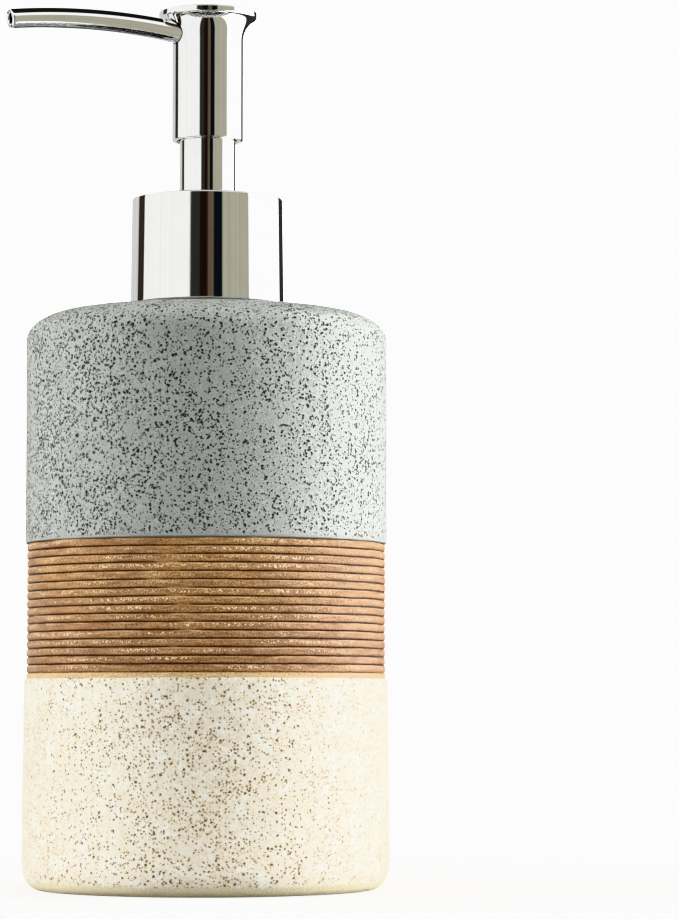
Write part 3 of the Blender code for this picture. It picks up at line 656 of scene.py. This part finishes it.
insert_flange = 14.2
insert_flange_top = 122.4
neck_radius = 12.6
neck_top = 135.2
neck_bore = 10.6
insert_foot = 111.0
insert_outline = eased([
    (neck_bore, insert_foot), (neck_bore, neck_top), (neck_radius, neck_top),
    (neck_radius, insert_flange_top), (insert_flange, insert_flange_top),
    (insert_flange, bottle_top + fit_gap), (mouth_radius - fit_gap, bottle_top + fit_gap),
    (mouth_radius - fit_gap, insert_foot),
], mould_corner)
threaded_insert = lathe("threaded_neck_insert", insert_outline, 120)
carve(threaded_insert, thread_ridge(neck_radius - 0.3, 13.65, neck_thread_start), "UNION")
threaded_insert.data.materials.append(white_finish)
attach(threaded_insert, "bottle")
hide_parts("neck_insert")


# Pump barrel -------------------------------------------------------------------------
# The barrel hangs in the neck on a thin flange. It is moulded in natural polypropylene, milky
# and see-through, with the ball valve's seat and the dip tube's socket at its lower end.

clear_finish, tree, shader = new_finish(
    "milky_clear_plastic", Base_Color=(0.86, 0.89, 0.88, 1.0), Transmission_Weight=0.35, IOR=1.49
)
skin = use_effect(tree, moulded, Flow=4.0, Peel=0.3)
vary_roughness(tree, shader, skin.outputs["Flow"], 0.12, 0.24)
connect_bump(tree, shader, skin.outputs["Peel"], 0.012)

flange_radius = 12.4
flange_bottom = 137.0
flange_top = 138.4
hub_radius = 8.6
hub_top = 140.7
barrel_radius = 7.7
barrel_bore = 6.6
valve_bore = 3.2
port_radius = 1.6
tube_socket = 3.35
barrel_outline = eased([
    (tube_socket, 73.0), (tube_socket, 83.0), (port_radius, 83.0), (port_radius, 85.4), (valve_bore, 87.0),
    (valve_bore, 96.5), (barrel_bore, 96.5), (barrel_bore, 131.0), (7.4, 131.0), (7.4, hub_top),
    (hub_radius, hub_top), (hub_radius, flange_top), (flange_radius, flange_top),
    (flange_radius, flange_bottom), (hub_radius, flange_bottom), (hub_radius, 129.8),
    (barrel_radius, 128.9), (barrel_radius, 94.5), (4.6, 93.4), (4.6, 73.0),
], mould_corner)
pump_barrel = lathe("pump_barrel", barrel_outline, 96)
pump_barrel.data.materials.append(clear_finish)
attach(pump_barrel, "pump")
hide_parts("pump_housing")


# Neck gasket -------------------------------------------------------------------------
# A soft washer under the barrel's flange. It seals the flange on the neck's rim, and a fine
# bead on each face takes the pressure.

seal_finish, tree, shader = new_finish("soft_seal_polymer", Specular_IOR_Level=0.35)
skin = use_effect(tree, moulded, Flow=2.0, Peel=0.25)
seal_colour = blend_colours(tree, skin.outputs["Flow"], (0.50, 0.49, 0.46), (0.62, 0.61, 0.57))
tree.links.new(seal_colour, shader.inputs["Base Color"])
vary_roughness(tree, shader, skin.outputs["Peel"], 0.12, 0.55)
connect_bump(tree, shader, skin.outputs["Peel"], 0.02)

gasket_bottom = neck_top + fit_gap
gasket_top = flange_bottom - fit_gap
gasket_bore = hub_radius + fit_gap
bead_radius = (gasket_bore + flange_radius) / 2
bead = 0.12
bead_half = 0.5
bead_rows = [(x, bead * math.cos(x / bead_half * math.pi / 2) ** 2)
             for x in np.linspace(-bead_half, bead_half, 9)]
low_face = gasket_bottom + bead
high_face = gasket_top - bead
gasket_outline = [(gasket_bore + 0.1, low_face), (gasket_bore, gasket_bottom + 0.3),
                  (gasket_bore, gasket_top - 0.3), (gasket_bore + 0.1, high_face)]
gasket_outline += [(bead_radius + x, high_face + proud) for x, proud in bead_rows]
gasket_outline += [(flange_radius - 0.1, high_face), (flange_radius, gasket_top - 0.3),
                   (flange_radius, gasket_bottom + 0.3), (flange_radius - 0.1, low_face)]
gasket_outline += [(bead_radius - x, low_face - proud) for x, proud in bead_rows]
sealing_washer = lathe("sealing_washer", gasket_outline, 120)
sealing_washer.data.materials.append(seal_finish)
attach(sealing_washer, "pump")
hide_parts("neck_gasket")


# Chaplet -----------------------------------------------------------------------------
# The white plug that closes the barrel's top. It snaps into the hub, guides the stem in its
# long neck, and stops the stem's shoulder at the top of the stroke.

guide_bore = 3.75
chaplet_outline = eased([
    (guide_bore, 131.5), (guide_bore, 151.0), (4.8, 151.0), (4.8, 142.2), (10.6, 142.2), (10.6, 141.0),
    (7.1, 141.0), (7.1, 136.9), (7.25, 136.4), (7.1, 135.9), (7.1, 131.5),
], mould_corner)
stem_guide = lathe("stem_guide_chaplet", chaplet_outline, 96)
stem_guide.data.materials.append(white_finish)
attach(stem_guide, "pump")
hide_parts("chaplet")


# Return spring -----------------------------------------------------------------------
# Drawn stainless wire, seven coils with one closed coil at each end. It stands on the
# barrel's ledge and pushes the plunger back up. The real spring shortens as the head is
# pressed; this one is built at a single length.

spring_low = 96.8
spring_high = 117.3
spring_radius = 4.6
wire = 0.9
coils = 7


def sweep(name, stations, across, sides, hollow=False):
    """Rings round a line: each station is (centre, direction, radius), in millimetres.

    across gives a vector that isn't along the line, for each centre. A hollow sweep joins
    its last ring to its first, and a solid one is closed by its end rings.
    """
    shape = bmesh.new()
    rings = []
    for centre, direction, radius in stations:
        direction = direction.normalized()
        first = across(centre).cross(direction).normalized()
        second = direction.cross(first)
        turns = [2 * math.pi * k / sides for k in range(sides)]
        rings.append([
            shape.verts.new((centre + radius * (math.cos(t) * first + math.sin(t) * second)) * MM)
            for t in turns
        ])
    pairs = list(zip(rings, rings[1:]))
    if hollow:
        pairs.append((rings[-1], rings[0]))
    for near, far in pairs:
        for i in range(sides):
            j = (i + 1) % sides
            shape.faces.new((near[i], near[j], far[j], far[i]))
    if not hollow:
        shape.faces.new(rings[0][::-1])
        shape.faces.new(rings[-1])
    return finished_piece(name, shape, 50)


def coil_point(turn):
    """The wire's centre after so many turns from the lower end."""
    closed_pitch = 1.16 * wire
    low = spring_low + wire / 2
    high = spring_high - wire / 2
    open_pitch = (high - low - 2 * closed_pitch) / (coils - 2)
    first = min(turn, 1.0)
    last = max(turn - (coils - 1), 0.0)
    z = low + (first + last) * closed_pitch + (turn - first - last) * open_pitch
    angle = 2 * math.pi * turn
    return Vector((spring_radius * math.cos(angle), spring_radius * math.sin(angle), z))


steel_finish, tree, shader = new_finish("drawn_spring_wire", Metallic=1.0)
drawn = use_effect(tree, cloudy, Grain=0.25, Detail=3.0, Flatten=4.0)
steel = blend_colours(tree, drawn.outputs[0], (0.46, 0.46, 0.47), (0.62, 0.62, 0.63))
tree.links.new(steel, shader.inputs["Base Color"])
vary_roughness(tree, shader, drawn.outputs[0], 0.18, 0.2)
connect_bump(tree, shader, drawn.outputs[0], 0.008)

steps_per_coil = 40
spring_stations = []
for i in range(coils * steps_per_coil + 1):
    turn = i / steps_per_coil
    ahead = coil_point(min(turn + 0.01, coils))
    behind = coil_point(max(turn - 0.01, 0.0))
    spring_stations.append((coil_point(turn), ahead - behind, wire / 2))
for end, inward in ((0, 1), (-1, -1)):
    centre, direction, radius = spring_stations[end]
    tip = (centre - inward * direction.normalized() * 0.12, direction, radius * 0.72)
    spring_stations.insert(0 if end == 0 else len(spring_stations), tip)
coil_spring = sweep("coil_spring", spring_stations, lambda centre: Vector((0, 0, 1)), 14)
coil_spring.data.materials.append(steel_finish)
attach(coil_spring, "pump")
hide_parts("return_spring")
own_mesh(coil_spring)


# Check ball --------------------------------------------------------------------------
# A polished stainless ball on the barrel's seat. It lifts to let soap in on the upstroke and
# shuts the port while the head is pressed.

ball_finish, tree, shader = new_finish(
    "polished_steel_ball", Metallic=1.0, Base_Color=(0.62, 0.62, 0.63, 1.0)
)
smeared = use_effect(tree, cloudy, Grain=0.9, Detail=3.0)
scuffs = use_effect(tree, specks, Spacing=0.6, Radius=0.07, Share=0.3)
polish = calculate(tree, "MULTIPLY_ADD", smeared.outputs[0], 0.08, 0.05)
vary_roughness(tree, shader, scuffs.outputs["Mask"], 0.2, polish)
connect_bump(tree, shader, scuffs.outputs["Mask"], 0.004)

ball_low, ball_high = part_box("check_ball")
ball_middle = (ball_low.z + ball_high.z) / 2 / MM
ball_radius = (ball_high.z - ball_low.z) / 2 / MM
ball_outline = [(ball_radius * math.cos(t), ball_middle + ball_radius * math.sin(t))
                for t in np.linspace(math.pi / 2, -math.pi / 2, 37)]
ball_outline[0] = (0.0, ball_middle + ball_radius)
ball_outline[-1] = (0.0, ball_middle - ball_radius)
valve_ball = lathe("valve_ball", ball_outline, 64)
valve_ball.data.materials.append(ball_finish)
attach(valve_ball, "ball")
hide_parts("check_ball")


# Dip tube ----------------------------------------------------------------------------
# A length of extruded clear tube pushed up into the barrel's socket. Its foot is cut off
# aslant, so that it can't seal itself against the bottle's floor.

tube_radius = 3.05
tube_bore = 2.2
tube_foot = 8.0
slant = math.tan(math.radians(35))
tube_outline = [(tube_bore, z) for z in np.linspace(tube_foot, 82.7, 26)]
tube_outline += [(tube_radius, z) for z in np.linspace(82.7, tube_foot, 26)]
suction_tube = lathe("suction_tube", eased(tube_outline, 0.1), 72)
for vertex in suction_tube.data.vertices:
    lift = (vertex.co.x / MM + tube_radius) * slant
    if vertex.co.z / MM < tube_foot + 1.5:
        vertex.co.z += lift * MM
    else:
        vertex.co.z = max(vertex.co.z, (tube_foot + 0.3 + lift) * MM)
suction_tube.data.materials.append(clear_finish)
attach(suction_tube, "pump")
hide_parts("dip_tube")


# Screw closure -----------------------------------------------------------------------
# The white threaded cap inside the chrome collar. It turns on the neck's thread and clamps
# the barrel's flange down on the gasket.

closure_outline = eased([
    (14.05, 124.1), (14.05, 138.8), (9.0, 138.8), (9.0, 140.4), (11.2, 140.4), (11.2, 143.1),
    (13.0, 143.1), (13.0, 144.7), (15.0, 144.7), (15.0, 124.1),
], mould_corner)
threaded_closure = lathe("threaded_closure", closure_outline, 120)
carve(threaded_closure, thread_ridge(14.4, 12.95, neck_thread_start + thread_pitch / 2), "UNION")
threaded_closure.data.materials.append(white_finish)
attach(threaded_closure, "collar")
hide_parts("screw_closure")


# Chrome collar -----------------------------------------------------------------------
# A thin drawn cup, polished and chromed, pressed over the closure. It tapers a little to its
# top, its edges are slightly rolled, and its foot stops just short of the glaze.

# Worn polish: hair-fine cleaning marks and dried water film on chrome.
polish_marks, given, result = new_effect("polish_marks", {"Haze": 1.0}, ["Roughness", "Film"])
hazy = use_effect(polish_marks, cloudy, Grain=5.0, Detail=4.0, Low=0.4, High=0.75)
hairs = use_effect(polish_marks, cloudy, Grain=0.6, Detail=4.0, Flatten=0.08, Low=0.5, High=0.8)
film = calculate(polish_marks, "MULTIPLY_ADD", hairs.outputs[0], 0.4, hazy.outputs[0])
film = calculate(polish_marks, "MULTIPLY", film, given.outputs["Haze"])
dulled = calculate(polish_marks, "MULTIPLY_ADD", film, 0.035, 0.03)
polish_marks.links.new(dulled, result.inputs["Roughness"])
polish_marks.links.new(film, result.inputs["Film"])


def chrome_finish(name, haze):
    material, tree, shader = new_finish(name, Metallic=1.0)
    marks = use_effect(tree, polish_marks, Haze=haze)
    plate = blend_colours(tree, marks.outputs["Film"], (0.95, 0.95, 0.955), (0.90, 0.90, 0.90))
    tree.links.new(plate, shader.inputs["Base Color"])
    tree.links.new(marks.outputs["Roughness"], shader.inputs["Roughness"])
    return material


collar_foot_radius = 16.25
collar_top_radius = 15.95
collar_foot = 123.0
collar_top = 145.6
sheet = 0.6
collar_wall = [(collar_foot_radius + (collar_top_radius - collar_foot_radius) * t,
                collar_foot + (collar_top - collar_foot) * t) for t in (1.0, 0.96, 0.9, 0.5, 0.1, 0.03, 0.0)]
collar_outline = collar_wall + [
    (collar_foot_radius - sheet, collar_foot), (collar_top_radius - sheet, collar_top - sheet),
    (6.25, collar_top - sheet), (6.25, collar_top),
]
chrome_collar = lathe("chrome_collar", eased(collar_outline, 0.45, 6), 256)
chrome_collar.data.materials.append(chrome_finish("chrome_plate_collar", 1.0))
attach(chrome_collar, "collar")
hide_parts("collar_shell")


# Neck sleeve -------------------------------------------------------------------------
# A chromed tube that stands fixed in the collar's top by its own flange. The head's skirt
# slides down over it, and only its lower half shows while the pump is up.

sleeve_outline = eased([
    (5.05, 143.4), (5.05, 163.5), (5.95, 163.5), (5.95, 160.0), (5.95, 146.5), (5.95, 144.6),
    (12.7, 144.6), (12.7, 143.4),
], mould_corner)
chrome_sleeve = lathe("chrome_neck_sleeve", sleeve_outline, 160)
chrome_sleeve.data.materials.append(chrome_finish("chrome_plate_sleeve", 1.6))
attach(chrome_sleeve, "collar")
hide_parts("neck_sleeve")


# Pump stem ---------------------------------------------------------------------------
# The hollow white rod that joins the head to the piston. Soap enters by the two ports near
# its foot, and the shoulder above them meets the chaplet at the top of the stroke.


def drill(piece, radius, start, end, sides=40):
    """Cut a round hole through the piece, from one point to another, in millimetres."""
    start = Vector(start)
    end = Vector(end)
    middle = [(start + (end - start) * t, end - start, radius) for t in (0.0, 0.5, 1.0)]
    across = Vector((0, 0, 1)) if abs(end.z - start.z) < 0.5 * (end - start).length else Vector((1, 0, 0))
    carve(piece, sweep("drill", middle, lambda centre: across, sides))


stem_radius = 3.6
stem_bore = 2.1
stem_foot = 119.5
stem_top = 176.0
inlet_height = 124.4
stem_outline = eased([
    (stem_bore, stem_foot), (stem_bore, stem_top), (stem_radius, stem_top), (stem_radius, 131.1),
    (4.6, 131.1), (4.6, 127.5), (stem_radius, 127.5), (stem_radius, inlet_height + 2.0),
    (stem_radius, inlet_height - 2.0), (stem_radius, stem_foot),
], mould_corner)
hollow_stem = lathe("hollow_stem", stem_outline, 96)
drill(hollow_stem, 0.8, (0, -7, inlet_height), (0, 7, inlet_height))
hollow_stem.data.materials.append(white_finish)
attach(hollow_stem, "plunger")
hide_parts("stem")


# Piston seat -------------------------------------------------------------------------
# The plug pressed into the stem's foot. Its flange takes the spring's push and shuts against
# the piston to seal the ports at rest.

seat_outline = eased([
    (0.0, 123.0), (1.5, 123.0), (1.8, 122.4), (1.8, 119.0), (5.2, 119.0), (5.2, 117.6), (0.0, 117.6),
], 0.2)
seat_plug = lathe("piston_seat_plug", seat_outline, 96)
seat_plug.data.materials.append(white_finish)
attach(seat_plug, "plunger")
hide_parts("piston_seat")


# Wiper piston ------------------------------------------------------------------------
# A soft moulded sleeve that floats on the stem. Two thin flared lips wipe the barrel's bore,
# and its lower rim shuts on the piston seat.

piston_outline = eased([
    (3.75, 119.4), (3.75, 126.0), (4.8, 126.0), (4.8, 123.4), (5.8, 123.4), (6.1, 125.7), (6.45, 125.7),
    (6.15, 123.4), (6.15, 121.8), (6.45, 119.7), (6.1, 119.7), (5.8, 121.8), (4.8, 121.8), (4.8, 119.4),
], 0.12)
wiper_piston = lathe("wiper_piston", piston_outline, 96)
wiper_piston.data.materials.append(seal_finish)
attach(wiper_piston, "piston")
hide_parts("piston")


# Spout line --------------------------------------------------------------------------
# The spout is bent to one long, even radius. The shell and the core below are drilled along
# its line where it enters them.

spout_apex_x = -24.7
spout_apex_z = 182.0
spout_bend_radius = 148.0
spout_shoulder_x = -6.3


def spout_point(x):
    drop = spout_bend_radius - math.sqrt(spout_bend_radius ** 2 - (x - spout_apex_x) ** 2)
    return Vector((x, 0.0, spout_apex_z - drop))


def spout_direction(x):
    """The way the soap flows at x."""
    return Vector((-math.sqrt(spout_bend_radius ** 2 - (x - spout_apex_x) ** 2), 0.0, x - spout_apex_x))


def entry_point(x):
    """A point on the straight line that the spout's root follows into the head."""
    direction = spout_direction(spout_shoulder_x)
    root = spout_point(spout_shoulder_x)
    return root + direction * ((x - root.x) / direction.x)


# Head shell --------------------------------------------------------------------------
# The polished chrome shell of the pump head: a straight skirt that opens in a hollow curve to
# the rim that the thumb pushes. The spout enters through a close hole in its side.

skirt_radius = 7.55
skirt_bore = 6.3
skirt_foot = 158.1
rim_radius = 10.45
rim_bottom = 184.2
rim_top = 185.8
recess_radius = 9.4
flare_foot = 179.7
flare_curve = 5.5
shell_outline = [(0.0, rim_bottom), (recess_radius, rim_bottom), (recess_radius, rim_top)]
shell_outline += [(rim_radius, rim_top), (rim_radius, rim_bottom + 0.7)]
shell_outline += bend(rim_radius - 0.6, rim_bottom + 0.55, 0.6, 0.5, 0, -70, 6)
shell_outline += bend(skirt_radius + flare_curve, flare_foot, flare_curve, flare_curve, 127, 180, 20)
shell_outline += [(skirt_radius, z) for z in np.arange(flare_foot - 0.4, 176.0, -0.5)]
shell_outline += [(skirt_radius, z) for z in (174.0, 168.0, 162.0, skirt_foot)]
shell_outline += [(skirt_bore, skirt_foot), (skirt_bore, 175.5)]
shell_outline += [(skirt_bore, z) for z in np.arange(176.5, 183.2, 0.5)]
shell_outline += [(skirt_bore, 183.5), (0.0, 183.5)]
chrome_head = lathe("chrome_head_shell", eased(shell_outline, 0.35, 6), 240)
drill(chrome_head, 2.65, entry_point(-4.5), entry_point(-13.0), 64)
chrome_head.data.materials.append(chrome_finish("chrome_plate_head", 1.0))
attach(chrome_head, "head")
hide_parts("head_shell")


# Head core ---------------------------------------------------------------------------
# The white moulding inside the shell. It grips the stem's top and turns the soap's way from
# the stem into the spout.

core_outline = eased([
    (0.0, 183.2), (6.0, 183.2), (6.0, 176.8), (4.4, 176.8), (4.4, 165.0), (guide_bore, 165.0),
    (guide_bore, stem_top + 0.7), (1.8, stem_top + 0.7), (1.8, spout_point(-4.3).z),
    (0.0, spout_point(-4.3).z),
], 0.2)
head_moulding = lathe("head_core_moulding", core_outline, 96)
drill(head_moulding, 1.4, entry_point(0.6), entry_point(-5.0))
drill(head_moulding, 2.15, entry_point(-4.0), entry_point(-7.5))
head_moulding.data.materials.append(white_finish)
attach(head_moulding, "head")
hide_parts("head_core")


# Head cap ----------------------------------------------------------------------------
# A thin chromed disc pressed into the shell's recess. It is dished a hair for the thumb, so
# its edge shows as a fine ring inside the rim.

cap_radius = 9.1
cap_bottom = rim_bottom + 0.3
cap_top = rim_top - 0.1
cap_outline = [(0.0, cap_top - 0.2)]
cap_outline += [(r, cap_top - 0.2 * (1 - (r / 8.5) ** 2)) for r in (1.5, 3.0, 4.5, 6.0, 7.5, 8.5)]
cap_outline += [(cap_radius, cap_top - 0.3), (cap_radius, cap_bottom), (0.0, cap_bottom)]
thumb_disc = lathe("chrome_thumb_disc", eased(cap_outline, 0.15), 160)
thumb_disc.data.materials.append(chrome_finish("chrome_plate_disc", 2.0))
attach(thumb_disc, "head")
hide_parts("head_cap")


# Spout -------------------------------------------------------------------------------
# A chromed tube, bent in a low arch and a little thinner at its tip. The lip is rounded over
# into the bore, and the root has a spigot that plugs into the core.

spout_root_x = -4.3
spout_tip_x = -45.7
spout_radius = 2.4
spout_tip_radius = 2.1
spigot_radius = 1.85
root_bore = 1.4
tip_bore = 1.05
lip_radius = (spout_tip_radius - tip_bore) / 2


def spout_share(x):
    """How far along the spout x is, from 0 at the shoulder to 1 at the tip."""
    return max(0.0, (spout_shoulder_x - x) / (spout_shoulder_x - spout_tip_x))


outer = [(spout_root_x, spigot_radius - 0.2), (spout_root_x - 0.2, spigot_radius)]
outer += [(spout_shoulder_x + 0.03, spigot_radius), (spout_shoulder_x, spout_radius - 0.15)]
outer += [(spout_shoulder_x - 0.05, spout_radius - 0.04), (spout_shoulder_x - 0.15, spout_radius)]
outer += [(x, spout_radius + (spout_tip_radius - spout_radius) * spout_share(x))
          for x in np.linspace(spout_shoulder_x - 0.3, spout_tip_x + lip_radius + 0.05, 64)]
lip = [(spout_tip_x + lip_radius * (1 - math.sin(t)), tip_bore + lip_radius * (1 + math.cos(t)))
       for t in np.linspace(0, math.pi, 15)]
inner = [(x, root_bore + (tip_bore - root_bore) * spout_share(x))
         for x in np.linspace(spout_tip_x + lip_radius + 0.05, spout_root_x - 0.1, 24)]
spout_stations = [(spout_point(x), spout_direction(x), float(r)) for x, r in outer + lip + inner]
arched_spout = sweep("chrome_spout", spout_stations, lambda centre: Vector((0, 1, 0)), 96, hollow=True)
arched_spout.data.materials.append(chrome_finish("chrome_plate_spout", 0.8))
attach(arched_spout, "head")
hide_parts("spout_tube")


# Floor, light and camera -------------------------------------------------------------
# A white sheet under the object, a soft studio round it with pale panels and dark gaps for
# the chrome to mirror, a broad low light on each side, and a long lens just above the table.

bpy.context.scene.view_settings.view_transform = "Khronos PBR Neutral"

to_camera = Vector((-0.469, -0.883, 0.0)).normalized()
to_right = Vector((0.883, -0.469, 0.0)).normalized()

floor_radius = 0.16
floor_shape = bmesh.new()
bmesh.ops.create_grid(floor_shape, x_segments=24, y_segments=24, size=floor_radius)
for vertex in floor_shape.verts:
    x, y, z = vertex.co / floor_radius
    vertex.co.x = floor_radius * x * math.sqrt(1 - y * y / 2)
    vertex.co.y = floor_radius * y * math.sqrt(1 - x * x / 2)
    vertex.co.z = -0.0001
floor_mesh = bpy.data.meshes.new("white_floor")
floor_shape.to_mesh(floor_mesh)
floor_shape.free()
floor_sheet = bpy.data.objects.new("white_floor", floor_mesh)
bpy.context.scene.collection.objects.link(floor_sheet)
paper, tree, shader = new_finish("white_paper", Roughness=0.9, Specular_IOR_Level=0.0)
seen = add_node(tree, "LightPath").outputs["Is Camera Ray"]
paper_colour = blend_colours(tree, seen, (0.50, 0.50, 0.49), (0.80, 0.80, 0.80))
tree.links.new(paper_colour, shader.inputs["Base Color"])
shader.inputs["Emission Color"].default_value = (1.0, 1.0, 1.0, 1.0)
tree.links.new(calculate(tree, "MULTIPLY", seen, 0.9), shader.inputs["Emission Strength"])
# The chrome mirrors the studio's walls under the flare instead of this small disc of paper.
clear = add_node(tree, "BsdfTransparent")
mirrored = add_node(tree, "LightPath").outputs["Is Glossy Ray"]
sheet_or_clear = add_node(tree, "MixShader", {0: mirrored, 1: shader.outputs[0], 2: clear.outputs[0]})
tree.links.new(sheet_or_clear.outputs[0], tree.get_output_node("ALL").inputs["Surface"])
floor_mesh.materials.append(paper)

world = bpy.data.worlds.new("studio")
world.use_nodes = True
bpy.context.scene.world = world
tree = world.node_tree
tree.nodes.clear()
direction = add_node(tree, "TexCoord").outputs["Generated"]


def along(axis):
    return shift_point(tree, "DOT_PRODUCT", {0: direction, 1: axis})["Value"]


bearing = calculate(tree, "ARCTAN2", along(to_right), along(to_camera))
place = calculate(tree, "MULTIPLY_ADD", bearing, 0.5 / math.pi, 0.5)

# Each wall of the studio: where it ends, in degrees from the lens, and its brightness.
studio_walls = [
    (-127, (0.70, 0.70, 0.68)), (-109, (0.062, 0.054, 0.050)), (-24, (1.12, 1.12, 1.09)),
    (-9, (0.060, 0.060, 0.058)), (3, (0.027, 0.022, 0.020)), (12, (0.155, 0.120, 0.090)),
    (25, (0.020, 0.022, 0.026)), (69, (0.45, 0.44, 0.345)), (142, (3.0, 3.0, 3.0)),
    (180, (0.065, 0.065, 0.065)),
]
walls = add_node(tree, "ValToRGB", {0: place})
ramp = walls.color_ramp
ramp.elements.remove(ramp.elements[0])
soft_edge = 0.7 / 360
start = 0.0
for end, colour in studio_walls:
    finish = end / 360 + 0.5
    for stop in (start + soft_edge, finish - soft_edge):
        element = ramp.elements.new(stop) if stop > 0 else ramp.elements[0]
        element.color = (*colour, 1.0)
    start = finish
ramp.elements.remove(ramp.elements[-1])
height = along(Vector((0, 0, 1)))
near_ceiling = spread_value(tree, height, 0.34, 0.46)
far_up = spread_value(tree, height, 0.70, 0.78)
above_horizon = spread_value(tree, height, -0.02, 0.02)
above_floor = spread_value(tree, height, -0.97, -0.88, 0.10, 1.0)
streaky = add_node(tree, "TexNoise", {"W": bearing, "Scale": 9.0, "Detail": 4.0}, noise_dimensions="1D")
streak = spread_value(tree, streaky.outputs[0], 0.3, 0.7, 0.90, 1.06)
room = blend_colours(tree, 1.0, walls.outputs["Color"], streak, "MULTIPLY")
room = blend_colours(tree, near_ceiling, room, (1.30, 1.30, 1.28))
room = blend_colours(tree, far_up, room, (0.03, 0.03, 0.03))
room = blend_colours(tree, 1.0, room, above_floor, "MULTIPLY")


def glow(middle, width):
    """Where a low, wide light stands round the object: 1 at its middle, fading to both sides."""
    gap = calculate(tree, "ABSOLUTE", calculate(tree, "SUBTRACT", bearing, math.radians(middle)))
    return spread_value(tree, gap, math.radians(0.35 * width), math.radians(width), 1.0, 0.0)


# The two low lights shine on the glazes only: the chrome mirrors the walls instead.
rays = add_node(tree, "LightPath")
low_down = spread_value(tree, height, 0.45, 0.75, 1.0, 0.08)
glows = calculate(tree, "MULTIPLY_ADD", glow(97, 49), 28.0, 0.12)
glows = calculate(tree, "MULTIPLY_ADD", glow(-81, 50), 12.6, glows)
soft_light = calculate(tree, "MULTIPLY", glows, calculate(tree, "MULTIPLY", low_down, above_horizon))
room = blend_colours(tree, rays.outputs["Is Diffuse Ray"], room, soft_light)
shine = add_node(tree, "Background", {"Color": room})
plain = add_node(tree, "Background", {"Color": (1.0, 1.0, 1.0, 1.0), "Strength": 3.0})
either = add_node(tree, "MixShader", {
    0: rays.outputs["Is Camera Ray"], 1: shine.outputs[0], 2: plain.outputs[0],
})
add_node(tree, "OutputWorld", {"Surface": either.outputs[0]})

lens = bpy.data.cameras.new("camera")
lens.lens = 141.4
lens.sensor_width = 36.0
camera = bpy.data.objects.new("camera", lens)
bpy.context.scene.collection.objects.link(camera)
distance = 0.762
aside = 0.0281
lens_height = 0.039
camera.location = to_camera * distance + to_right * aside + Vector((0, 0, lens_height))
tilt = math.radians(3.852)
looking = -to_camera * math.cos(tilt) + Vector((0, 0, math.sin(tilt)))
camera.rotation_euler = looking.to_track_quat("-Z", "Y").to_euler()
bpy.context.scene.camera = camera
